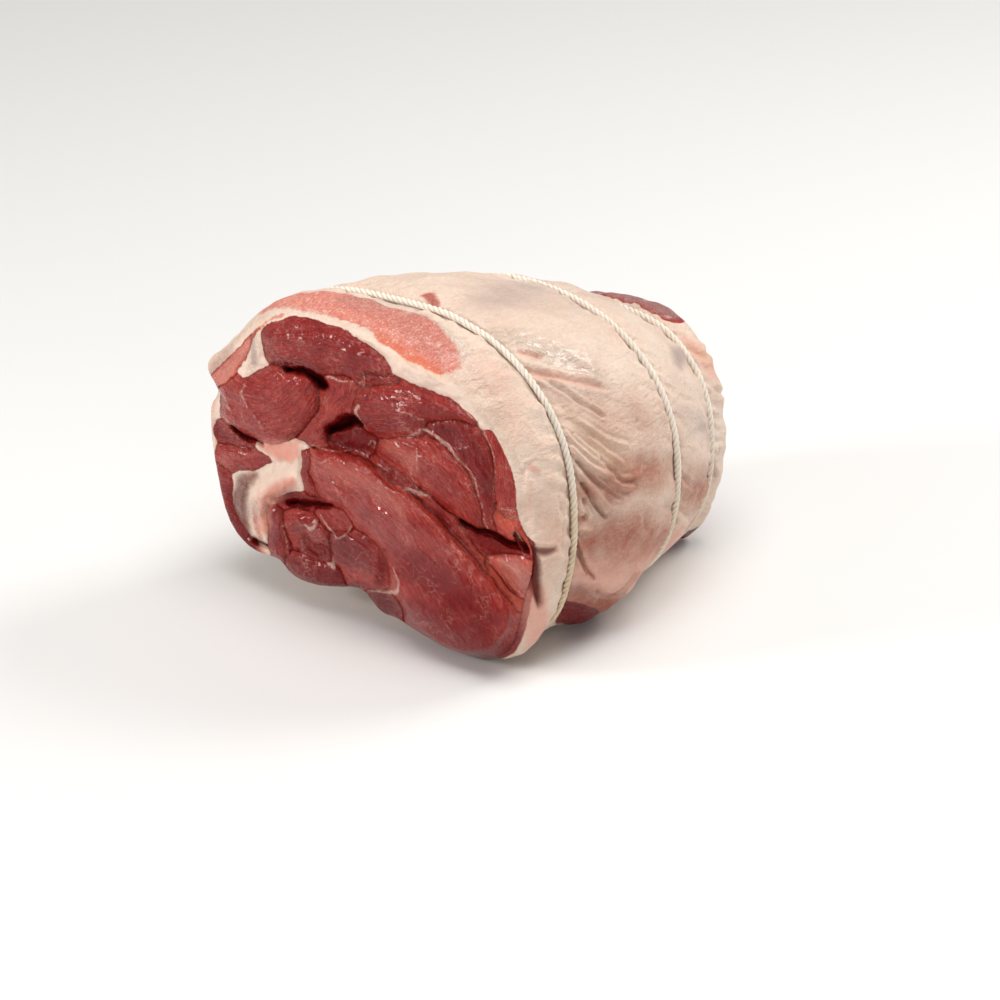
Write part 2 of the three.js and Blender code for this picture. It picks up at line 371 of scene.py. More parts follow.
@dataclass(frozen=True)
class Crease:
    """A fold of the cover: a furrow with a raised lip on each side.

    Attributes:
        chain: Rounds of (y, angle, radius).
        depth: How deep the furrow is, in mm. A negative depth makes a ridge.
        width: How wide it is, in mm.
        lip: How high its lips stand, in mm.
    """

    chain: tuple
    depth: float
    width: float = 1.2
    lip: float = 0.35


MUSCLES = (
    Muscle("eye", Area.CUT, ((-54.5, 105, 7.6), (-44, 107, 10), (-30, 108.5, 9), (-19, 109, 7.4),
                             (-7, 108.5, 4.2)),
           lift=0.2, crown=3.0, grain=4, tone=-0.1, bend=-0.2),
    Muscle("under the eye's tip", Area.CUT, ((-12, 101.5, 2.2), (-4, 102.5, 2), (2, 102.5, 1)),
           lift=-0.6, crown=1.2, grain=-10, tone=-0.2),
    Muscle("strip under the cover", Area.CUT,
           ((-84, 80.5, 1.6), (-78.3, 86.6, 3), (-72.6, 93, 2.4), (-68, 99.6, 1.4),
            (-63.5, 106.2, 0.7), (-57, 112.3, 0.4), (-50, 117, 0.3)),
           lift=-0.4, crown=0.8, grain=48, tone=0.62),
    Muscle("left round", Area.CUT, ((-71, 74.5, 10.5), (-58, 78, 13.4), (-44, 84, 10)),
           lift=1.5, crown=3.4, grain=22, tone=0.05, bend=1.2),
    Muscle("slanting", Area.CUT, ((-25, 93.5, 5.5), (-28, 86, 6.5), (-34, 77, 6), (-41, 70.5, 3)),
           lift=-0.3, crown=2.4, grain=58, tone=0.04),
    Muscle("upper right", Area.CUT, ((-9, 88, 8), (2, 93.5, 10), (14, 97.5, 7), (24, 99.5, 4),
                                     (34, 98, 1.5)),
           lift=1.1, crown=3.2, grain=-8, tone=-0.1, bend=-0.5),
    Muscle("fan", Area.CUT, ((-6, 75, 3.2), (5, 75, 7.5), (18, 72.5, 10.5), (30, 66, 7), (36, 60, 3.5)),
           lift=0.6, crown=2.6, grain=-30, tone=0.12, bend=-0.5),
    Muscle("fan top", Area.CUT, ((15, 91, 2), (25, 90, 5), (34, 87.5, 6.5), (38.5, 78, 5),
                                 (41, 68, 2.8), (42, 59, 2)),
           lift=0.3, crown=1.8, grain=-60, tone=-0.2),
    Muscle("rim strip", Area.CUT, ((43, 93.5, 2), (47.6, 88, 4), (49, 80, 4.6), (49, 72, 4.6),
                                   (48.5, 66, 4)),
           lift=-0.8, crown=1.8, grain=-82, tone=0.1),
    Muscle("thin strip", Area.CUT,
           ((-10, 70.5, 1), (-3, 66.8, 2.4), (3, 65.8, 3), (9.5, 63.4, 2.3), (17, 59.2, 2.2),
            (24, 54.5, 2.4), (30, 49.8, 2.2), (36, 44.6, 1.8), (41, 40.5, 1.5)),
           lift=-0.3, crown=1.8, grain=-34),
    Muscle("rim strip, low end", Area.CUT, ((47, 63, 3.2), (50.5, 59.6, 3.8), (55.5, 57, 3),
                                            (61, 55, 1.6), (66, 54, 1)),
           lift=0.6, crown=1.6, grain=-50, tone=0.2),
    Muscle("in the right fold", Area.CUT, ((31, 55, 0.6), (37, 52, 2.2), (43, 50.5, 2.6),
                                           (50, 51.5, 1.6), (57, 52.3, 0.5)),
           lift=-1.5, crown=0.8, grain=-20),
    Muscle("wedge", Area.CUT, ((46, 45, 3.4), (53, 43, 7), (58, 39, 5.4)),
           lift=-1.6, crown=2.8, grain=-40, tone=0.5),
    Muscle("under the wedge", Area.CUT, ((41, 42.5, 1.2), (46, 37.5, 1.6), (51, 33, 1.8), (58, 29, 1.6)),
           lift=-0.4, crown=1.6, grain=-38, tone=0.25),
    Muscle("main", Area.CUT, ((-33, 58, 8.5), (-16, 56, 12.3), (4, 45.5, 15.2), (22, 28, 21),
                              (42, 20, 13.5)),
           lift=3.0, crown=4.2, grain=-38, tone=0.1, bend=-0.34),
    Muscle("main, curled end", Area.CUT, ((-40.5, 61.5, 2.6), (-40, 55, 3), (-38.5, 49, 2.6)),
           lift=2.0, crown=2.0, grain=84, tone=-0.15),
    Muscle("outer band, top", Area.CUT, ((-82, 60, 3.5), (-70, 60.5, 3)),
           lift=-2.2, crown=1.8, grain=8, tone=-0.1),
    Muscle("outer band, middle", Area.CUT, ((-80, 52, 4.5), (-66, 54, 3.5), (-59, 57, 1.5)),
           lift=-1.4, crown=2.2, grain=5, tone=0.06),
    Muscle("outer band, low", Area.CUT, ((-82, 42, 4.5), (-81, 33, 4), (-76, 24, 4), (-66, 17.5, 2.5)),
           lift=-1.8, crown=2.0, grain=2, tone=-0.12),
    Muscle("smooth left lobe", Area.CUT, ((-57, 34, 3.5), (-56.6, 27, 4), (-57.2, 20.5, 3.6),
                                          (-54.8, 16, 3)),
           lift=0.6, crown=2.8, grain=80, tone=-0.1),
    Muscle("lower left", Area.CUT, ((-45, 33, 6), (-38, 31, 5)),
           lift=0.4, crown=2.8, grain=15),
    Muscle("lower left recess", Area.CUT, ((-42, 28.5, 2.6), (-36, 25.5, 3)),
           lift=-1.2, crown=1.4, grain=20, tone=-0.25),
    Muscle("lower left foot", Area.CUT, ((-49.7, 14, 4), (-39.5, 15, 4.4), (-29, 16.5, 3)),
           crown=2.4, grain=5, tone=-0.15),
    Muscle("between the white lines", Area.CUT, ((-31, 40.5, 3), (-25, 40.5, 3.4)),
           lift=0.3, crown=1.8, grain=-20, tone=0.08),
    Muscle("lower middle", Area.CUT, ((-22, 30, 7), (-12, 28, 8), (-18, 20, 5)),
           lift=0.2, crown=3.2, grain=-20),
    Muscle("lower middle foot", Area.CUT, ((-12, 12.5, 3), (-4, 12.5, 2.5)),
           lift=-0.6, crown=1.6, tone=-0.3),
    Muscle("deep", Area.CUT, ((-28, 74, 3), (-18, 75, 5), (-11, 76, 3)),
           lift=-3.2, crown=1.8, grain=86, tone=-0.25),
    Muscle("cover at the upper left", Area.CUT,
           ((-90, 82.5, 1.5), (-84, 90, 2.4), (-78, 96.5, 2.6), (-72, 103, 2.6), (-65, 110.5, 2.6),
            (-57.5, 116.5, 2.2), (-50, 121, 1.9), (-38, 124.5, 2)),
           crown=0.9, grain=48, fat=True),
    Muscle("white band", Area.CUT,
           ((-70, 88, 1.6), (-66.5, 92, 2.8), (-63.6, 97, 2.9), (-63.2, 102, 2), (-61.6, 107, 1.3),
            (-56, 113, 1.3), (-48, 117, 1.5), (-38, 119.2, 1.6), (-28, 120, 1.7), (-19, 119.2, 2),
            (-11, 117, 2.2), (-4, 113.6, 2.5), (3, 110, 2.8), (11, 107.6, 2.3), (19, 106.2, 2.1),
            (27, 104.6, 2), (35, 101.2, 1.9), (42, 98.2, 1.8), (49, 94.2, 1.7), (54.8, 88.5, 1.4),
            (56.6, 80, 1.3), (56.4, 72, 1.2), (56.4, 66.5, 1.2), (58.4, 61.6, 1.0)),
           lift=0.4, crown=1.0, grain=10, fat=True),
    Muscle("cover round the rim", Area.CUT,
           ((6, 115, 2.6), (24, 110.5, 4), (40, 104, 4), (52, 96, 4), (61, 84, 3.4), (63, 72, 3),
            (63, 63, 1.6)),
           crown=0.6, grain=-40, fat=True),
    Muscle("cover at the left edge", Area.CUT, ((-84, 76, 2), (-87, 68, 2.6), (-87, 58, 2), (-87, 50, 1)),
           crown=1.0, grain=85, fat=True),
    Muscle("pink fold", Area.CUT, ((-61.8, 59.7, 1.6), (-55.8, 59, 2.6), (-49, 62.5, 2.4),
                                   (-41.5, 67.3, 0.9)),
           lift=0.2, crown=1.4, grain=20, fat=True),
    Muscle("fat finger", Area.CUT, ((-45.6, 62.5, 1.8), (-44, 58, 1.5), (-44.8, 53, 2.4)),
           lift=1.6, crown=1.2, grain=80, fat=True),
    Muscle("fat lobe", Area.CUT, ((-44.8, 53, 2.4), (-49.5, 49.5, 3.8), (-56, 45.5, 3.8),
                                  (-61.5, 40.5, 4.4), (-64.2, 34, 3.8), (-62, 27.5, 2.4),
                                  (-60.5, 22.5, 1.4)),
           lift=1.2, crown=2.8, grain=55, fat=True),
    Muscle("in the fat lobe", Area.CUT, ((-59.5, 40.3, 1.2), (-52, 42.5, 2), (-44, 44.5, 2.2),
                                         (-37, 46.5, 1.2)),
           lift=-0.8, crown=0.6, grain=10, tone=-0.1),
    Muscle("grey skin", Area.CUT, ((-52, 56, 1.2), (-58, 51.5, 2), (-66, 46.5, 2.6), (-72, 41, 4),
                                   (-72.5, 33, 4.2), (-69, 27, 3.4), (-65, 22.7, 1.6)),
           lift=-2.0, crown=2.6, grain=80, tone=-0.05, fat=True),
    Muscle("nub", Area.CUT, ((-65, 18.2, 1.5), (-63, 16.6, 1.5), (-60.6, 18, 1.2)),
           lift=1.0, crown=1.6, fat=True),
    Muscle("main, turned under", Area.SIDE, ((-26, -40, 5), (-22, -58, 7), (-23, -82, 7), (-24, -104, 7)),
           crown=0.8, grain=60, tone=-0.2),
    Muscle("belly", Area.SIDE, ((0, -31.5, 3), (8, -36.5, 5), (17, -41, 5.5), (26, -47, 5), (34, -54, 4)),
           lift=0.3, crown=0.9, grain=10, tone=-0.5),
    Muscle("rear corner", Area.SIDE, ((95, -56, 4), (105, -52, 6)),
           lift=0.2, crown=0.8, grain=35, tone=-0.4),
    Muscle("over the shank", Area.SIDE, ((108, 64, 6), (110, 76, 8), (110, 92, 8), (109, 110, 6)),
           lift=0.8, crown=1.6, grain=70, tone=0.2),
    Muscle("beside the lap", Area.SIDE, ((14, -136, 3), (34, -141, 6), (58, -140, 5), (76, -134, 2.5)),
           lift=0.2, crown=0.8, grain=8, tone=-0.05),
    Muscle("left window", Area.SIDE, ((71, 163, 0.8), (78, 156, 2.6), (84, 151, 4.4), (89, 143, 2.2),
                                      (96, 137, 2.8), (101, 129, 0.8)),
           lift=0.2, crown=0.7, grain=60),
    Muscle("upper wrap", Area.SHANK, ((-32, 40, 9), (-30, 62, 9), (-12, 76, 9), (10, 78, 8)),
           grain=40, tone=-0.02, crown=0.8),
    Muscle("core", Area.SHANK, ((-10, 50, 10), (4, 57, 10)), grain=12, tone=-0.15, crown=0.8),
    Muscle("right wrap", Area.SHANK, ((25, 70, 7), (32, 56, 8), (31, 36, 9)), crown=0.8, fat=True),
    Muscle("lower wrap", Area.SHANK, ((-22, 21, 9), (-5, 27, 8), (12, 22, 10)),
           grain=-10, tone=0.05, crown=0.8),
    Muscle("slip", Area.SHANK, ((12, 41, 5), (20, 46, 4)), grain=70, tone=-0.3, crown=0.6),
)

# Openings between the muscles of the cut face.
GAPS = (
    Gap("under the eye",
        ((-50, 94.6, 0.1), (-44, 95.4, 0.3), (-38.6, 95.9, 0.9), (-34.5, 94.6, 1.5), (-32.2, 93, 1.1)),
        4.5, slope=1.7),
    Gap("centre", ((-30, 75.9, 0.6), (-24.6, 80.3, 1.6), (-18.8, 82.8, 1.2),
                   (-15.5, 82.3, 0.4)), 5.0, slope=1.7),
    Gap("left fold", ((-76.4, 64.9, 0.1), (-72.2, 62.9, 0.3), (-67.1, 61.8, 0.4),
                      (-62, 61.9, 0.2)), 3.0, slope=1.4),
    Gap("right fold",
        ((29, 56.2, 0.1), (35, 55.2, 0.5), (41, 54.6, 0.9), (47, 54.3, 0.9), (52, 53.4, 0.5),
         (58, 52.8, 0.2)), 2.8,
        slope=1.5),
    Gap("lower left fold", ((-50, 41, 0.1), (-44, 42, 0.6), (-38.9, 43.2, 0.8),
                            (-30, 45.8, 0.2)), 3.4, slope=1.6),
    Gap("main seam",
        ((-13, 68.4, 0.1), (-8.5, 66.2, 0.3), (-3.6, 62.6, 0.3), (5.4, 60.6, 0.3), (11, 59.8, 0.3),
         (20, 55, 0.4),
         (27.5, 48, 0.4), (35, 42.2, 0.4), (41, 37.2, 0.3), (49, 31.5, 0.2)), 0.6, slope=0.8),
    Gap("over the main muscle", ((-37, 67.3, 0.1), (-30, 66.9, 0.3), (-20, 69.2, 0.3)), 1.3, slope=1.1),
    Gap("lower left recess", ((-41, 28, 1), (-36, 25.5, 1.2)), 0.9, slope=3.0),
    Gap("under the grey skin", ((-66, 21, 0.8), (-61.5, 20.4, 0.6)), 2.4, slope=1.8),
    Gap("under the fan", ((12, 65, 0.1), (19, 61.7, 0.3), (24, 60, 0.4),
                          (30, 56.4, 0.2)), 1.0, slope=1.2),
)

# White seams and flecks of fat on the cut face: rounds of (x, z, radius).
WHITE_LINES = (
    ((6.5, 83.2, 0.3), (10, 86.4, 0.5), (13.3, 88.7, 0.6), (18.5, 86.8, 0.8), (21.5, 85, 1),
     (26, 83.4, 0.8),
     (29.7, 80, 0.5), (32.6, 78.5, 0.3)),
    ((28, 84, 0.3), (32.7, 86.8, 0.2)),
    ((32.6, 79, 0.3), (34.8, 75.5, 0.5), (36.3, 71.9, 0.35), (39.3, 64.2, 0.2), (41.5, 56.4, 0.15)),
    ((-1.6, 95.4, 0.2), (1.3, 92.8, 0.35), (6.6, 92.3, 0.25), (13.3, 91.8, 0.25)),
    ((10.2, 80, 0.2), (10, 76, 0.3), (10.2, 72, 0.15)),
    ((10, 76.6, 0.3), (12.4, 77.4, 0.2)),
    ((7.6, 70, 0.2), (8.4, 66.8, 0.35), (10.1, 63.8, 0.4)),
    ((-8.8, 68.6, 0.25), (-5, 67.4, 0.3), (-2.7, 67.2, 0.15)),
    ((4, 61.6, 0.4), (7, 62.2, 0.8), (10.1, 62, 1.1), (13, 62.4, 0.6), (16.1, 62.2, 0.2)),
    ((-7.4, 63, 0.15), (-3.6, 60.8, 0.3), (1.7, 60.4, 0.25)),
    ((30, 101.2, 0.2), (37, 97, 0.3), (40, 94, 0.3), (42.3, 90, 0.3), (43.7, 86, 0.25), (44.3, 80.7, 0.2),
     (44, 74, 0.15), (43.7, 68, 0.15)),
    ((44, 67.5, 0.2), (48, 66, 0.25), (53, 66.4, 0.2)),
    ((-16, 90, 0.6), (-17, 87, 0.8), (-15.5, 83.6, 0.6), (-12, 81, 0.2)),
    ((-14, 104, 0.2), (-14.4, 98, 0.2)),
    ((-69, 84, 0.25), (-69.8, 80, 0.45), (-68, 75, 0.2)),
    ((-65, 73, 0.15), (-62, 69.6, 0.25), (-60, 71, 0.15)),
    ((-79, 79, 0.15), (-78, 74, 0.25), (-75, 69, 0.2)),
    ((-80, 68, 0.5), (-75, 64.8, 0.4)),
    ((-35, 40.2, 0.35), (-33, 39, 0.5), (-30, 36.3, 0.45), (-27.1, 33, 0.5), (-24, 34.6, 0.4),
     (-20, 41, 0.25)),
    ((-51.3, 32.8, 0.4), (-52.6, 30, 0.3), (-50.7, 25.5, 0.3), (-51.1, 19.6, 0.15)),
    ((-42.1, 35.5, 0.5), (-39.3, 33.9, 1), (-36.4, 37.8, 0.4)),
    ((-46, 36, 0.2), (-44, 34, 0.3), (-42, 35.5, 0.3)),
    ((-32.3, 21.8, 0.6), (-28.6, 21.2, 1.2), (-29.2, 24.4, 0.5)),
    ((-12.6, 15.8, 0.3), (-6.4, 17.8, 0.8), (-1, 19, 1.1), (1.6, 22.4, 0.6), (0.4, 26.4, 0.5),
     (-1.2, 29.6, 0.3)),
    ((-12.6, 74.8, 0.4), (-11.2, 77, 0.3), (-9.4, 76.2, 0.3), (-9.8, 74.4, 0.3)),
    ((-38, 67.9, 0.5), (-30, 68.2, 0.35), (-22, 70.4, 0.2)),
    ((-31, 96.6, 0.5), (-28, 97.6, 0.7), (-22, 97.4, 0.3), (-16, 99, 0.3)),
    ((-33.5, 62.3, 0.15), (-27.6, 66, 0.15)),
    ((-30, 57, 0.2), (-27, 54, 0.2), (-24, 51, 0.12)),
    ((6, 50, 0.2), (10, 46.5, 0.15)),
    ((41, 44.6, 0.5), (43, 43.8, 0.3)),
)

# Folds of the cover between the loops: rounds of (y, angle, radius).
CREASES = (
    Crease(((2, 41, 0), (12, 31, 0), (19, 25, 0)), 0.87, 0.8, 0.56),
    Crease(((1.5, 22.6, 0), (6.6, 16.8, 0), (13.9, 10.8, 0), (18, 7.4, 0)), -0.72, 0.7, -0.49),
    Crease(((2.3, 17.6, 0), (7.6, 12.4, 0), (15.3, 8, 0), (20.8, 3.8, 0), (27, 2.6, 0)), -1.3, 0.9, -0.7),
    Crease(((3, 14, 0), (8, 8.6, 0), (15, 3.4, 0), (20, 0.4, 0)), 1.3, 0.7, 0.28),
    Crease(((2.9, 10.4, 0), (7.8, 5.2, 0), (14.8, -1.7, 0)), -1.45, 1.2, -0.84),
    Crease(((3.6, 7.4, 0), (7.4, 1.8, 0), (14, -4.6, 0)), 1.74, 0.6, 0.42),
    Crease(((3.9, 2.4, 0), (4.5, -3.5, 0)), 1.16, 0.7, 0.56),
    Crease(((1.5, -5.8, 0), (7, -6.8, 0)), -1.16, 0.7, -0.28),
    Crease(((1.1, -3.2, 0.4), (3.5, -3.3, 0.3)), 1.74, 0.9, 0),
    Crease(((0.4, -9.2, 0), (2.3, -13.5, 0), (5.4, -18.3, 0), (10.5, -22.4, 0)), 2.03, 0.6, 0.7),
    Crease(((3.4, -12, 0), (6.4, -16.6, 0), (10.8, -20.4, 0)), -0.87, 0.9, 0),
    Crease(((5.1, 20.9, 0), (12.4, 13.6, 0)), -0.58, 0.6, -0.42),
    Crease(((11.2, 19, 0), (22.2, 10.6, 0)), -0.72, 0.8, -0.42),
    Crease(((9, 25, 0), (17, 18.6, 0), (26, 15, 0)), -0.51, 0.8, -0.28),
    Crease(((22, 6.2, 0), (29.5, 5.4, 0), (35, 6.2, 0)), -0.58, 0.7, -0.28),
    Crease(((34.3, -7.7, 0), (36.6, -14.4, 0)), 0.58, 1.4, 0.28),
    Crease(((14, -27.6, 0), (22, -31, 0), (29, -29, 0), (32, -26, 0)), 1.3, 0.8, 0.7),
    Crease(((16, -30.6, 0), (24.2, -34, 0), (31, -31, 0), (35, -27, 0)), 1.3, 0.8, 0.7),
    Crease(((1, 43, 0), (12, 38, 0), (25, 33, 0)), 1.3, 1.2, 0.7),
    Crease(((2, 46.5, 0), (13, 41, 0), (24, 36.6, 0)), -0.72, 0.9, 0),
    Crease(((3, 50, 0), (9, 47, 0)), 0.87, 1.2, 0.56),
    Crease(((60, -14, 0), (72, -20, 0), (86, -24, 0)), 0.9, 1.4, 0.4),
    Crease(((60, 22, 0), (70, 24, 0), (80, 23, 0)), 0.5, 1.0, 0.4),
    Crease(((60, 8, 0), (76, 12, 0), (94, 10, 0)), 0.5, 1.4, 0.3),
    Crease(((60, -2, 0), (70, -8, 0), (80, -10, 0)), 0.5, 1.0, 0.3),
    Crease(((99, -8, 0.7), (101, -10, 0.5), (104, -16, 0)), 1.8, 0.9, 0.5),
    Crease(((101, 46, 0), (107, 40, 0), (112, 43, 0)), 0.9, 1.4, 0.4),
    Crease(((101, 30, 0), (106, 25, 0), (112, 22, 0)), 0.8, 1.3, 0.4),
    Crease(((36.5, 19, 0.4), (38, 21, 0.4)), -0.8, 1.0, 0.0),
    Crease(((35, 18.5, 0), (36, 21, 0)), 0.5, 0.8, 0.0),
    Crease(((-18.4, 8, 0), (-16, 6.4, 0), (-14.2, 7.4, 0)), -0.45, 0.6, 0.0),
    Crease(((-17.4, 15, 0), (-17.8, 10, 0), (-18.6, 2, 0), (-19, -3, 0)), -0.4, 0.7, 0.0),
    Crease(((-12, 30, 0), (-10.6, 24, 0), (-11.4, 19, 0)), -0.35, 0.6, 0.0),
    Crease(((-8, 6, 0), (-7, -2, 0), (-8.4, -9, 0)), 0.4, 0.8, 0.2),
    Crease(((104, -3, 0), (98, -9, 0), (91.5, -13.4, 0), (84, -18, 0), (77.6, -20.7, 0),
           (70.7, -25.5, 0)), 1.1, 1.4, 0.7),
    Crease(((-20.4, -6.6, 0.6), (-19.5, -12, 0.6), (-17.6, -18, 0.3), (-14.6, -24, 0)), 3.4, 1.0, 0.4),
    Crease(((-18.8, -6.6, 0.3), (-15.4, -7.6, 0.4), (-11.8, -7.8, 0)), 1.4, 0.8, 0.5),
    Crease(((-19.4, 15.5, 0), (-16.3, 17.9, 0), (-13.6, 18.5, 0)), 0.5, 0.6, 0.3),
    Crease(((-17.6, 12, 0), (-18, 6, 0), (-18.6, 1, 0)), 0.4, 0.7, 0.4),
    Crease(((-20, 36, 0), (-19.6, 24, 0), (-19.4, 10, 0), (-19.6, -2, 0)), 0.35, 1.0, 0.25),
)

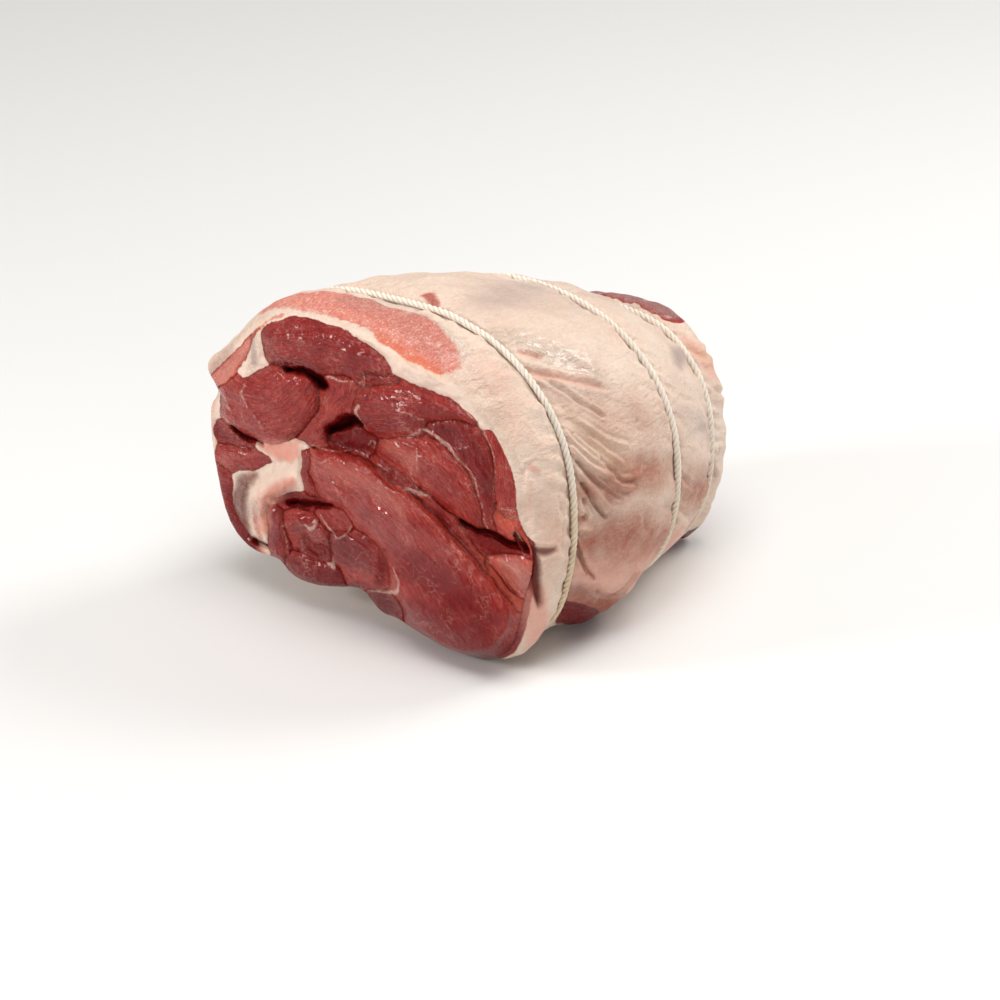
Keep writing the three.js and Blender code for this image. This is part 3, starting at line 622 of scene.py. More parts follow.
PATCHES = (
    # The cut face.
    *patches(
        Area.CUT, Tint.BLOOD_AND_SHADE,
        # Blood, and painted shade: darker towards the bottom of the main muscle and of the face, in the
        # recesses and along the folds.
        (((14, 14, 7), (30, 14, 10), (48, 9, 8)), 0.7, 16),
        (((8, 33, 5), (22, 28, 8), (36, 21, 9)), 0.88, 14),
        (((24, 90, 3), (36, 82, 3), (42, 66, 2)), 0.25, 5),
        (((-30, 28, 4), (-16, 30, 5)), 0.6, 8),
        (((-40, 25.5, 2.5), (-32, 27, 3)), 0.8, 3),
        (((-50, 15, 4), (-30, 15, 4), (-8, 12, 4)), 0.5, 5),
        (((-7, 34, 1.5), (-6.4, 28, 2.6), (-7, 22, 2)), 0.7, 4),
        (((-28, 75, 4), (-20, 77.5, 5), (-11, 77, 3)), 0.85, 3),
        # Painted shadow cast into the right fold by the overhang above it.
        (((31, 55, 0.8), (38, 51.6, 2.2), (44, 50, 2.8), (51, 51.5, 1.6), (57, 52.3, 0.6)), 0.8, 3),
        (((-57, 96, 0.8), (-46, 98, 1.6), (-34, 99.6, 1.2)), 0.5, 3),
        (((-34, 96, 2), (-28, 92, 1)), 0.4, 2.5),
        (((-58, 40.6, 1.2), (-50, 42.6, 2.2), (-42, 44.6, 2.2), (-36, 46.4, 1)), 0.45, 3),
        (((-78, 24, 3), (-66, 17, 3)), 0.5, 5),
        (((-84, 62, 3), (-68, 60, 3)), 0.25, 3),
        (((-43, 62, 2), (-42, 52, 2.4)), 0.3, 3),
        (((-65, 35, 0.8), (-66, 29, 1.2), (-64, 23, 0.8)), 0.3, 4),
    ),
    *patches(
        Area.CUT, Tint.AMBER,
        (((52, 32, 1.6), (59, 27, 2.6), (60, 17, 2.4)), 0.75, 5),
        (((38, 46, 0.8), (45, 38, 1.3), (54, 32.5, 1.3)), 0.8, 2),
        (((47, 63.6, 1.6), (51.6, 60, 2.6), (57, 56.6, 1.8)), 0.5, 3),
        (((-6, 76, 1.4), (2, 78, 1.6)), 0.4, 3),
        (((-33, 80, 1), (-26, 86, 1.2), (-20, 87, 1)), 0.4, 3),
        (((-76, 88, 2), (-70, 97, 2), (-60, 112, 1)), 0.3, 3),
        (((-22, 123, 1), (-6, 119.5, 1.6), (6, 114.5, 1.8), (20, 112, 1.6)), 0.8, 3),
        (((-58, 38, 1.4), (-61, 32, 1.6), (-61.6, 25, 1)), 0.4, 3),
    ),
    *patches(
        Area.CUT, Tint.RAW,
        (((-36, 125.5, 1), (-14, 122.5, 1.6), (-2, 118, 2.4), (12, 114.5, 2.6),
          (20, 113, 1.8)), 1.0, 1.5),
        (((-57, 40, 1.4), (-60.6, 34, 1.8), (-61.4, 26, 1.2)), 0.62, 4),
        (((-62, 43, 1), (-65.6, 37, 1.6), (-66.2, 30, 2), (-64, 23, 1.4)), 0.6, 4),
        (((-64, 106.6, 0.7), (-57, 112.8, 0.7), (-50, 117.4, 0.7), (-42, 120.8, 0.8),
          (-36, 122.8, 1)), 0.9, 1.4),
    ),
    *patches(
        Area.CUT, Tint.FLUSH,
        (((-2, 77, 2), (8, 74, 4)), 0.3, 5),
        (((-30, 60, 3), (-14, 60, 4), (2, 55, 3)), 0.35, 6),
        (((-62, 61, 2), (-50, 62, 4), (-44, 67, 1)), 1.0, 3),
        (((-48, 50, 2), (-56, 44, 3), (-60, 38, 3), (-62, 28, 3)), 1.0, 3),
        (((-84, 81, 1.6), (-78, 87, 2.6), (-72, 94, 2), (-66, 102, 1)), 0.9, 2),
        (((-64, 17, 2), (-63, 15, 2)), 0.9, 2),
        (((-86, 74, 2), (-88, 58, 2)), 0.6, 3),
        (((48, 45, 3), (56, 42, 5)), 0.6, 4),
        (((56, 90, 4), (63, 72, 4), (64, 58, 4)), 0.5, 4),
    ),
    *patches(
        Area.CUT, Tint.DARKER_FAT_AND_SHADE,
        (((-86, 84, 1.4), (-80.5, 92, 2.4), (-75, 100, 1.8), (-69, 108, 0.8)), 0.34, 3),
        (((-46, 50, 2), (-54, 46, 3), (-60, 38, 3)), 0.14, 3),
        (((-66, 48, 1), (-72, 41, 2.8), (-74, 32, 3.6), (-71, 24, 2.4)), 1.0, 4),
    ),
    *patches(
        Area.CUT, Tint.MAUVE,
        (((-24, 101, 1), (-8, 104.5, 1)), 0.8, 2),
        (((-66, 48, 1.2), (-72, 41, 3), (-74, 32, 3.6), (-71, 24, 2.4)), 0.7, 3),
        (((-66, 103, 1), (-64.5, 94, 1.6)), 0.9, 2),
        (((-57, 34, 3), (-57, 24, 3)), 0.5, 3),
        (((14, 72, 4), (26, 68, 4)), 0.5, 8),
        (((0, 87, 3), (6, 89, 3)), 0.4, 5),
        (((-8, 68, 1.4), (2, 65.6, 2), (10, 63, 1.4)), 0.9, 2.5),
        (((14, 60.4, 1.4), (24, 54.6, 1.6), (34, 46, 1.4)), 0.5, 2.5),
        (((4, 109.5, 1), (26, 105.5, 1), (44, 96.5, 1)), 0.4, 2),
        (((-24, 75, 3), (-14, 76, 3)), 0.3, 3),
    ),
    *patches(
        Area.CUT, Tint.WET,
        (((-72, 44, 3), (-72, 32, 4), (-62, 36, 4)), 1.0, 3),
        (((-10, 50, 8), (20, 36, 10)), 0.5, 8),
        (((52, 43, 5), (57, 37, 4)), 0.9, 3),
        (((-40, 30, 6), (-16, 28, 6)), 0.6, 5),
        (((-10, 14, 3), (8, 12, 4), (26, 8, 5), (44, 6, 5)), 0.8, 6),
        (((-64, 106, 1.5), (-63.6, 97, 2.6), (-67, 91, 2)), 0.8, 2),
        (((-56, 97, 1), (-44, 98.5, 2), (-34, 99.5, 1)), 0.8, 2),
    ),
    # The outside.
    *patches(
        Area.SIDE, Tint.RAW,
        (((-19.5, 56, 3), (-18.5, 62, 5.4), (-17.5, 70, 7.2), (-17, 80, 8.5), (-17, 100, 9),
          (-18, 120, 7), (-21, 136, 3)), 1.0, 4),
        (((2, 84, 1.6), (6, 92, 2.2)), 1.0, 1.5),
    ),
    *patches(
        Area.SIDE, Tint.BLOOD_AND_SHADE,
        (((2, 84, 1.2), (6, 92, 1.8)), 0.55, 1.5),
        # Painted shade in the slots and creases, in wet dark red.
        (((98.5, -10, 0.6), (101, -9, 0.6)), 1.0, 1.2),
        (((1, -13, 0.3), (7, -21, 0.3)), 0.6, 1.2),
        (((-20.8, -6.6, 1.8), (-20, -12, 2.2), (-18.2, -18, 1.8), (-15, -24, 1.0)), 1.0, 1.5),
        (((-19, -6.8, 1), (-15.4, -7.8, 1.2), (-12, -8, 0.6)), 0.8, 1.8),
        (((0, -23, 2.5), (8, -28, 3.5), (20, -33, 4), (34, -40, 5)), 0.34, 7),
        (((0, -32, 3), (8, -37, 5), (17, -42, 6), (26, -48, 5)), 0.85, 4),
        (((-1, -24, 2), (4, -26, 2.8), (9, -28, 2)), 0.55, 4),
    ),
    *patches(
        Area.SIDE, Tint.AMBER,
        (((-25, 56, 1.5), (-26, 68, 2.5), (-26, 84, 2)), 0.9, 3),
        (((4, 30, 2), (20, 10, 5), (42, 2, 5)), 0.3, 8),
        (((66, -14, 5), (88, -12, 5)), 0.3, 8),
        (((103, 44, 2), (109, 40, 3)), 0.4, 4),
        (((30, -120, 8), (70, -112, 8)), 0.3, 10),
    ),
    *patches(
        Area.SIDE, Tint.FLUSH,
        (((-14, -8, 6), (-14, 20, 7), (-14, 50, 7)), 0.15, 6),
        (((-18, -22, 5), (-12, -34, 5)), 0.8, 5),
        (((6, -20, 5), (24, -24, 8), (48, -30, 9)), 0.7, 8),
        (((64, -30, 8), (86, -34, 10)), 0.7, 8),
        (((1, 43, 1.2), (12, 38, 1.4), (25, 33, 0.8)), 0.6, 4),
        (((4, 50, 1), (9, 47, 1)), 0.8, 2),
        (((103, 50, 3), (108, 34, 5)), 0.6, 5),
        (((-16, 17, 1.2), (-14, 15, 1.0)), 0.7, 1.5),
        (((10, 150, 12), (60, 160, 12)), 0.3, 12),
        (((-17.3, 14, 0.8), (-17.7, 8.7, 1), (-18.2, 3.6, 0.8)), 0.3, 2.4),
        (((1.2, -3, 0.8), (4, -3.2, 0.8)), 1.0, 2),
    ),
    *patches(
        Area.SIDE, Tint.DARKER_FAT_AND_SHADE,
        # Darker pinkish fat, and painted shade on the flanks and low down.
        (((4, -11, 6), (20, -12, 9), (38, -16, 9), (52, -22, 6)), 1.0, 18),
        (((2, 6, 3), (14, 4, 7), (30, 6, 7), (48, 2, 5)), 0.85, 14),
        (((4, 34, 5), (12, 28, 8), (26, 26, 10), (44, 18, 8)), 0.4, 18),
        (((60, -4, 6), (72, -10, 9), (92, -14, 9)), 0.9, 18),
        (((4, -30, 5), (18, -36, 7), (36, -44, 8)), 1.0, 10),
        # Painted shade along the creases.
        (((3.6, 7.4, 0.3), (7.4, 1.8, 0.3), (14, -4.6, 0.3)), 1.0, 1.4),
        (((3, 14, 0.2), (8, 8.6, 0.3), (15, 3.4, 0.3), (20, 0.4, 0.1)), 1.0, 1.4),
        (((0.4, -9.2, 0.2), (2.3, -13.5, 0.2), (5.4, -18.3, 0.2), (10.5, -22.4, 0.1)), 0.9, 1.2),
    ),
    *patches(
        Area.SIDE, Tint.MAUVE,
        (((80, 38, 3), (84, 41, 4), (92, 43, 4)), 1.0, 6),
        (((14, 74, 6), (34, 80, 10), (48, 84, 8)), 0.6, 18),
        (((62, 20, 3), (84, 14, 5), (94, 8, 3)), 0.45, 7),
        (((50, 84, 3), (52, 68, 2)), 0.4, 5),
        (((66, 76, 3), (90, 76, 2)), 0.3, 5),
        (((-4, 104, 1.5), (-4, 86, 1.2)), 0.6, 2.5),
        (((10, -12, 4), (24, -14, 3)), 0.5, 6),
        (((108, 66, 5), (110, 86, 7), (109, 108, 5)), 0.75, 4),
        (((8.5, -12, 1.6), (13.8, -8.8, 2), (17, -6, 1.4)), 0.7, 4),
    ),
    *patches(
        Area.SIDE, Tint.WET,
        (((5, 58, 4), (12, 50, 6), (22, 42, 5), (28, 36, 2)), 1.0, 12),
        (((-15, 60, 6), (-14, 80, 7), (-14, 105, 6)), 0.9, 4),
        (((-18, 34, 2.5), (-18, 44, 4), (-16, 54, 4)), 0.6, 6),
        (((40, 66, 5), (52, 60, 3)), 0.35, 8),
    ),
    # The shank end.
    *patches(
        Area.SHANK, Tint.BLOOD_AND_SHADE,
        (((12, 41, 3), (20, 46, 3)), 0.6, 3),
        (((-18, 36, 2), (6, 40, 2)), 0.4, 4),
    ),
    *patches(
        Area.SHANK, Tint.MAUVE,
        (((-30, 60, 6), (-10, 76, 6)), 0.5, 5),
    ),
    *patches(
        Area.SHANK, Tint.FLUSH,
        (((31, 36, 5), (32, 56, 6)), 0.6, 5),
    ),
    *patches(
        Area.SHANK, Tint.WET,
        (((-10, 50, 8), (10, 56, 8)), 0.6, 6),
    ),
)


# ---------------------------------------------------------------- reading the tables


@dataclass
class MuscleReading:
    """What the muscles of one area give at each point.

    Attributes:
        relief: How far the surface stands out, in mm.
        flesh: Distance inside the red flesh, in mm, negative in fat.
        seam: Distance from the border between two red muscles, in mm.
        tone: The muscle's tone.
        grain: Rows of distance along and across the fibres and a number for the muscle.
    """

    relief: np.ndarray
    flesh: np.ndarray
    seam: np.ndarray
    tone: np.ndarray
    grain: np.ndarray


@dataclass
class MuscleMap:
    """The muscles of one area.

    Attributes:
        area: The area.
        spread: How far flesh reaches past the muscles' outlines where no fat is nearer, in mm.
        lift_blend: How softly one muscle's lift passes into the next, in mm.
        tone_blend: The same for its tone.
        fat_fade: The lift dies out this far past the outlines, in mm.
        seam_reach: How far from a seam a muscle's edge has risen by two thirds, in mm.
        edge_share: The share of the crown that the edge makes.
        swell_share: The share that the slow swelling farther in makes.
        swell_reach: How many times farther the slow swelling reaches.
        number_step: What the number in the grain rises by from muscle to muscle.
        muscles: The muscles of the area.
    """

    area: Area
    spread: float
    lift_blend: float = 2.0
    tone_blend: float = 0.8
    fat_fade: float = 6.0
    seam_reach: float = 1.5
    edge_share: float = 0.32
    swell_share: float = 0.85
    swell_reach: float = 4.0
    number_step: float = 37.0
    muscles: list[Muscle] = field(init=False)

    def __post_init__(self) -> None:
        """Picks this area's muscles."""
        self.muscles = [muscle for muscle in MUSCLES if muscle.area is self.area]

    def _mixed(self, far: np.ndarray, values: list[float], blend: float) -> np.ndarray:
        """Passes softly from muscle to muscle: each one's value is weighed by how near it is."""
        weights = np.exp(-(far - far.min(0)) / blend)
        return (weights * np.array(values)[:, None]).sum(0) / weights.sum(0)

    def read(self, u: np.ndarray, v: np.ndarray) -> MuscleReading:
        """Reads the map at points of the area.

        Args:
            u: The area's first coordinate, in mm.
            v: The area's second coordinate, in mm.

        Returns:
            What the muscles give at each point.
        """
        scale = MM_PER_DEGREE if self.area is Area.SIDE else 1.0
        chains = [tuple((a, b * scale, r) for a, b, r in rounded(muscle.chain)) for muscle in self.muscles]
        far = np.stack([chain_distance(u, v, chain) for chain in chains])
        fat = np.array([muscle.fat for muscle in self.muscles])
        red_far = far[~fat].min(0)
        fat_far = far[fat].min(0) if fat.any() else np.full(u.shape, FAR_AWAY)
        ordered = np.sort(far, 0)
        nearest, second = ordered[0], ordered[1]
        inside = np.maximum(0, np.minimum((second - nearest) / 2, self.spread - nearest))
        reds = np.sort(far[~fat], 0)
        lift = self._mixed(far, [muscle.lift for muscle in self.muscles], self.lift_blend)
        crown = self._mixed(far, [muscle.crown for muscle in self.muscles], self.lift_blend)
        edge = 1 - np.exp(-inside / self.seam_reach)
        swelling = 1 - np.exp(-inside / (self.swell_reach * self.seam_reach))
        relief = lift * smooth(1 - nearest / self.fat_fade)
        relief += crown * (self.edge_share * edge + self.swell_share * swelling)
        owner = far.argmin(0)
        middles = np.array([np.mean(np.array(chain)[:, :2], 0) for chain in chains])[owner]
        from_u, from_v = u - middles[:, 0], v - middles[:, 1]
        turn = np.array([muscle.grain for muscle in self.muscles])[owner]
        turn = np.radians(turn + np.array([muscle.bend for muscle in self.muscles])[owner] * from_u)
        along = from_u * np.cos(turn) + from_v * np.sin(turn)
        across = from_v * np.cos(turn) - from_u * np.sin(turn)
        return MuscleReading(
            relief=relief,
            flesh=np.minimum(self.spread - red_far, (fat_far - red_far) / 2),
            seam=(reds[1] - reds[0]) / 2,
            tone=self._mixed(far, [muscle.tone for muscle in self.muscles], self.tone_blend),
            grain=np.stack([along, across, owner * self.number_step], 1),
        )


@dataclass
class Fields:
    """What the finish reads at each vertex of the roll.

    Attributes:
        count: How many vertices there are.
        values: The numbers, by name.
        grain: Rows of distance along and across the fibres and a number for the muscle.
    """

    count: int
    values: dict[str, np.ndarray] = field(init=False)
    grain: np.ndarray = field(init=False)

    def __post_init__(self) -> None:
        """Starts as plain fat everywhere."""
        self.values = {tint.value: np.zeros(self.count) for tint in Tint}
        self.values.update(
            flesh=np.full(self.count, -FLESH_REACH),
            seam=np.full(self.count, FLESH_REACH),
            tone=np.zeros(self.count),
            white=np.full(self.count, -WHITE_REACH),
            # gap: the painted shade of the gaps on the cut face.
            gap=np.zeros(self.count),
            cut=np.zeros(self.count),
        )
        self.grain = np.zeros((self.count, 3))

    def lay_muscles(self, where: np.ndarray, reading: MuscleReading) -> None:
        """Writes a reading of the muscles into the chosen vertices.

        Args:
            where: Which vertices.
            reading: What the muscles give at each of them.
        """
        self.values["flesh"][where] = np.clip(reading.flesh, -FLESH_REACH, FLESH_REACH)
        self.values["seam"][where] = np.clip(reading.seam, 0, FLESH_REACH)
        self.values["tone"][where] = reading.tone
        self.grain[where] = reading.grain

    def lay_patches(self, where: np.ndarray, area: Area, u: np.ndarray, v: np.ndarray) -> None:
        """Writes an area's tints into the chosen vertices.

        Args:
            where: Which vertices.
            area: Their area.
            u: The area's first coordinate at each of them, in mm.
            v: The second coordinate, in mm.
        """
        scale = MM_PER_DEGREE if area is Area.SIDE else 1.0
        for patch in PATCHES:
            if patch.area is area:
                chain = tuple((a, b * scale, r) for a, b, r in rounded(patch.chain))
                share = patch.strength * smooth(0.5 - chain_distance(u, v, chain) / patch.soft)
                held = self.values[patch.tint.value]
                held[where] = np.maximum(held[where], share)

    def write(self, mesh: bpy.types.Mesh) -> None:
        """Keeps every field as a point attribute of the mesh.

        Args:
            mesh: The mesh.
        """
        for name, values in self.values.items():
            held = mesh.attributes.new(name, "FLOAT", "POINT")
            held.data.foreach_set("value", values.astype(np.float32))
        held = mesh.attributes.new("grain", "FLOAT_VECTOR", "POINT")
        held.data.foreach_set("vector", self.grain.astype(np.float32).ravel())


# ---------------------------------------------------------------- the meat


@dataclass(frozen=True)
class Swell:
    """An uneven swell of the surface.

    Attributes:
        height: About how high it stands, in mm.
        wavelength: Typical distance from one crest to the next, in mm.
        seed: Picks its directions and phases.
    """

    height: float
    wavelength: float
    seed: int

    def at(self, points: np.ndarray) -> np.ndarray:
        """Its height at each point."""
        return self.height * ripple(points, self.wavelength, self.seed)


def all_vertices(form: bmesh.types.BMesh) -> np.ndarray:
    """The form's vertices as rows of coordinates."""
    return np.array([vertex.co for vertex in form.verts])


def set_vertices(form: bmesh.types.BMesh, points: np.ndarray) -> None:
    """Moves the form's vertices to the given rows."""
    for vertex, point in zip(form.verts, points):
        vertex.co = point


def even_out(form: bmesh.types.BMesh, vertices: list, share: float) -> None:
    """Moves vertices by a share of the way to the middle of their neighbours."""
    bmesh.ops.smooth_vert(
        form, verts=vertices, factor=share, use_axis_x=True, use_axis_y=True, use_axis_z=True
    )


def edges_between(form: bmesh.types.BMesh, chosen: np.ndarray) -> list[bmesh.types.BMEdge]:
    """The edges whose two ends are both among the chosen vertices."""
    return [e for e in form.edges if chosen[e.verts[0].index] and chosen[e.verts[1].index]]


def smooth_faces(form: bmesh.types.BMesh) -> None:
    """Has light pass softly from face to face."""
    for face in form.faces:
        face.smooth = True


@dataclass
class Roll:
    """The rolled meat: its cut face, the fat cover and the shank end, as one closed skin.

    It starts from the merged solid, whose cut face is laid flat again and made finer. Then the
    muscles, gaps, folds and the furrows under the twine are pressed into it.

    Attributes:
        place: Where the roll lies in the frame.
        axis: Its middle line.
        loops: The centrelines of its loops of twine.
        cut_y: Where the cut face's rim is.
        cut_skew: How far the cut runs out of square.
        cut_dome: How far the middle of the cut stands out.
        lean: The way in which what stands out of the cut face leans.
        gap_lean: The same for the gaps, which go in more steeply.
        shank_y: Where the shank end starts.
        shank_blend: Over how many mm the cover passes into it.
        rim_steps: How many stretches the cut's outline is measured in.
        rim_catch: How near the cut's plane the rim's vertices lie, in mm.
        rim_relief: The solid's relief near the rim, in mm.
        face_relief: Its relief farther in, in mm.
        face_share: Farther in means within this share of the way to the rim.
        even_share: The cut's mesh is evened out within this share.
        even_passes: How often it is evened out.
        on_cut: A vertex that is nearer the cut's plane than this, in mm, is on the cut.
        on_even_cut: The same while the mesh is made finer.
        plain_from: From here on the low and left parts keep a coarser mesh.
        plain_angles: Below the first and above the second angle is low and left.
        cut_edge: Edges of the cut face that are longer than this, in mm, are halved.
        fine_from: The least y and angle of the stretch that gets a fine mesh.
        fine_to: Its greatest y and angle.
        finest_from: The least y and angle of the folded stretch, whose mesh is finer yet.
        finest_to: Its greatest y and angle.
        twine_radius: The radius of the furrow under the twine.
        band_angles: Angles round the middle of the cut.
        band_widths: How wide the band of fat inside the rim is there, in mm; where it is negative,
            flesh goes on that far round the rim.
        flesh_spread: How far flesh reaches past the muscles' outlines on the two ends, in mm.
        warp_across: How the muscles' outlines stray across the cut.
        warp_up: How they stray up and down.
        cut_lumps: Unevenness of the cut face.
        fibre_lumps: Ridges along the fibres, read on the grain.
        cover_lumps: Unevenness of the cover.
        damp_lumps: Puckers of the cover where it is wet.
        end_lumps: Unevenness of the shank end.
        fold_count: How many fine folds fan out behind the first loop.
        fold_seed: Picks their places.
        rest_height: The least height of a vertex.
        rim_angles: The angles at which the cut's outline was measured.
        rim_radii: The outline's distance from the middle of the cut there.
    """

    place: Place
    axis: Axis
    loops: list[LoopLine]
    cut_y: float = -25.0
    cut_skew: float = 0.06
    cut_dome: float = 4.0
    lean: tuple[float, float, float] = (0.8, -1.0, 0.55)
    gap_lean: tuple[float, float, float] = (0.72, -1.0, 0.5)
    shank_y: float = 112.0
    shank_blend: float = 4.0
    rim_steps: int = 72
    rim_catch: float = 1.2
    rim_relief: float = 1.6
    face_relief: float = 12.0
    face_share: float = 0.95
    even_share: float = 0.955
    even_passes: int = 10
    on_cut: float = 1.1
    on_even_cut: float = 0.4
    plain_from: float = -16.0
    plain_angles: tuple[float, float] = (-75.0, 150.0)
    cut_edge: float = 0.98
    fine_from: tuple[float, float] = (-24.0, -32.0)
    fine_to: tuple[float, float] = (44.0, 58.0)
    finest_from: tuple[float, float] = (0.5, -16.0)
    finest_to: tuple[float, float] = (33.0, 29.0)
    twine_radius: float = 1.36
    band_angles: tuple[float, ...] = (-180, -165, -145, -40, -26, -4, -1, 30, 60, 100, 140, 180)
    band_widths: tuple[float, ...] = (0.5, -0.5, -3.0, -3.2, -3.2, -2.4, -0.2, 0.0, 0.4, 0.6, 0.6, 0.5)
    flesh_spread: float = 12.0
    warp_across: tuple[Swell, ...] = (Swell(0.45, 13, 5), Swell(0.13, 4.5, 6))
    warp_up: tuple[Swell, ...] = (Swell(0.45, 13, 7), Swell(0.13, 4.5, 8))
    cut_lumps: tuple[Swell, ...] = (Swell(0.3, 14, 3), Swell(0.08, 4, 4))
    fibre_lumps: Swell = Swell(1.0, 2.6, 9)
    cover_lumps: tuple[Swell, ...] = (Swell(0.4, 19, 11), Swell(0.2, 8, 12))
    damp_lumps: tuple[Swell, Swell] = (Swell(0.2, 3.4, 31), Swell(0.1, 1.9, 32))
    end_lumps: tuple[Swell, ...] = (Swell(0.3, 9, 21), Swell(0.15, 4, 22))
    fold_count: int = 46
    fold_seed: int = 29
    rest_height: float = 0.02
    rim_angles: np.ndarray = field(init=False)
    rim_radii: np.ndarray = field(init=False)

    def build(self, finish: "MeatFinish") -> bpy.types.Object:
        """Makes the roll's mesh, sculpts it, and gives it its finish.

        Args:
            finish: The finish of the meat.

        Returns:
            The finished piece.
        """
        form = self._start()
        self._flatten_cut(form)
        self._refine(form)
        points = all_vertices(form)
        form.normal_update()
        normals = np.array([vertex.normal for vertex in form.verts])
        moved, fields = self._sculpt(points, normals)
        set_vertices(form, self.place.to_frame(moved))
        smooth_faces(form)
        mesh = bpy.data.meshes.new("shoulder")
        form.to_mesh(mesh)
        form.free()
        fields.write(mesh)
        mesh.materials.append(finish.material())
        piece = bpy.data.objects.new("shoulder", mesh)
        bpy.context.scene.collection.objects.link(piece)
        return piece

    def _start(self) -> bmesh.types.BMesh:
        """The merged solid, in the roll's own millimetres.

        Returns:
            The form that the rest is made from.
        """
        form = bmesh.new()
        form.from_mesh(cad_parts["meat"].data)
        bmesh.ops.remove_doubles(form, verts=form.verts, dist=1e-6)
        bmesh.ops.scale(form, vec=(1000, 1000, 1000), verts=form.verts)
        bmesh.ops.translate(form, vec=Vector(-self.place.corner), verts=form.verts)
        return form

    def _plane_y(self, x: np.ndarray) -> np.ndarray:
        """The y of the flat cut at each x."""
        return self.cut_y + self.cut_skew * x

    def _cut_polar(self, points: np.ndarray) -> tuple[np.ndarray, np.ndarray]:
        """Places points round the middle of the cut.

        Args:
            points: Rows of coordinates.

        Returns:
            Each point's distance from the middle, and its angle.
        """
        x, z = self.axis.middle(np.array(self.cut_y))
        side, up = points[:, 0] - x, points[:, 2] - z
        return np.hypot(side, up), np.degrees(np.arctan2(up, side))

    def _measure_rim(self, points: np.ndarray) -> None:
        """Measures the cut's outline.

        Args:
            points: The merged solid's vertices.
        """
        radius, angle = self._cut_polar(points)
        near = np.abs(points[:, 1] - self._plane_y(points[:, 0])) < self.rim_catch
        step = 360 / self.rim_steps
        slot = np.floor((angle + 180) / step).astype(int) % self.rim_steps
        slots = range(self.rim_steps)
        self.rim_angles = np.array([step / 2 - 180 + step * number for number in slots])
        self.rim_radii = np.array([radius[near & (slot == number)].max() for number in slots])

    def _flatten_cut(self, form: bmesh.types.BMesh) -> None:
        """Lays the cut face flat and evens out its mesh.

        Args:
            form: The merged solid.
        """
        points = all_vertices(form)
        self._measure_rim(points)
        radius, angle = self._cut_polar(points)
        share = radius / np.interp(angle, self.rim_angles, self.rim_radii, period=360)
        behind = points[:, 1] - self.cut_skew * points[:, 0]
        inner = (behind < self.cut_y + self.face_relief) & (share < self.face_share)
        face = (behind < self.cut_y + self.rim_relief) | inner
        lean = np.array(self.lean)
        out = np.maximum(0, self._plane_y(points[:, 0]) - points[:, 1]) / (1 + self.cut_skew * lean[0])
        points[face, 0] -= lean[0] * out[face]
        points[face, 2] -= lean[2] * out[face]
        points[face, 1] = self._plane_y(points[face, 0])
        set_vertices(form, points)
        form.verts.ensure_lookup_table()
        radius, angle = self._cut_polar(points)
        share = radius / np.interp(angle, self.rim_angles, self.rim_radii, period=360)
        vertices = [form.verts[i] for i in np.flatnonzero(face & (share < self.even_share))]
        for _ in range(self.even_passes):
            even_out(form, vertices, 0.5)

    def _refine(self, form: bmesh.types.BMesh) -> None:
        """Makes the mesh finer: most on the cut face, more where it folds, least where it lies low.

        Args:
            form: The form with its cut laid flat.
        """
        self._split(form, form.edges[:])
        points = all_vertices(form)
        _, angle = self.axis.polar(points)
        low, high = self.plain_angles
        plain = (points[:, 1] > self.plain_from) & (points[:, 1] < self.shank_y)
        plain &= (angle < low) | (angle > high)
        kept = set(edges_between(form, plain))
        self._split(form, [e for e in form.edges if e not in kept])
        for least, most in ((self.fine_from, self.fine_to), (self.finest_from, self.finest_to)):
            points = all_vertices(form)
            _, angle = self.axis.polar(points)
            chosen = (points[:, 1] > least[0]) & (points[:, 1] < most[0])
            chosen &= (angle > least[1]) & (angle < most[1])
            chosen &= points[:, 1] - self._plane_y(points[:, 0]) > self.on_even_cut
            self._split(form, edges_between(form, chosen), 0.3)
        for _ in range(2):
            points = all_vertices(form)
            on_cut = points[:, 1] - self._plane_y(points[:, 0]) < self.on_even_cut
            across = edges_between(form, on_cut)
            self._split(form, [e for e in across if e.calc_length() > self.cut_edge], 0.0)

    def _split(self, form: bmesh.types.BMesh, edges: list, evened: float = 0.5) -> None:
        """Halves the given edges, then evens the vertices out.

        Args:
            form: The form.
            edges: Which of its edges.
            evened: By what share the vertices are evened out.
        """
        bmesh.ops.subdivide_edges(form, edges=edges, cuts=1, use_grid_fill=True)
        bmesh.ops.triangulate(form, faces=[f for f in form.faces if len(f.verts) > 3])
        if evened:
            even_out(form, form.verts[:], evened)
        form.verts.index_update()
        form.verts.ensure_lookup_table()

    def _rim_share(self, points: np.ndarray) -> tuple[np.ndarray, np.ndarray, np.ndarray]:
        """Where each vertex is in relation to the cut's rim.

        Args:
            points: The even skin's vertices.

        Returns:
            The share of the way from the middle of the cut to its rim, 2 for a vertex that isn't on
            the cut; how far inside the rim it is in mm, negative behind the cut; and its angle.
        """
        radius, angle = self._cut_polar(points)
        rim = np.interp(angle, self.rim_angles, self.rim_radii, period=360)
        behind = points[:, 1] - self._plane_y(points[:, 0])
        cut = behind < self.on_cut
        share = np.where(cut, np.minimum(radius / rim, 1), 2.0)
        inside = np.where(cut, (1 - share) * rim, 0) - np.maximum(behind, 0)
        return share, inside, angle

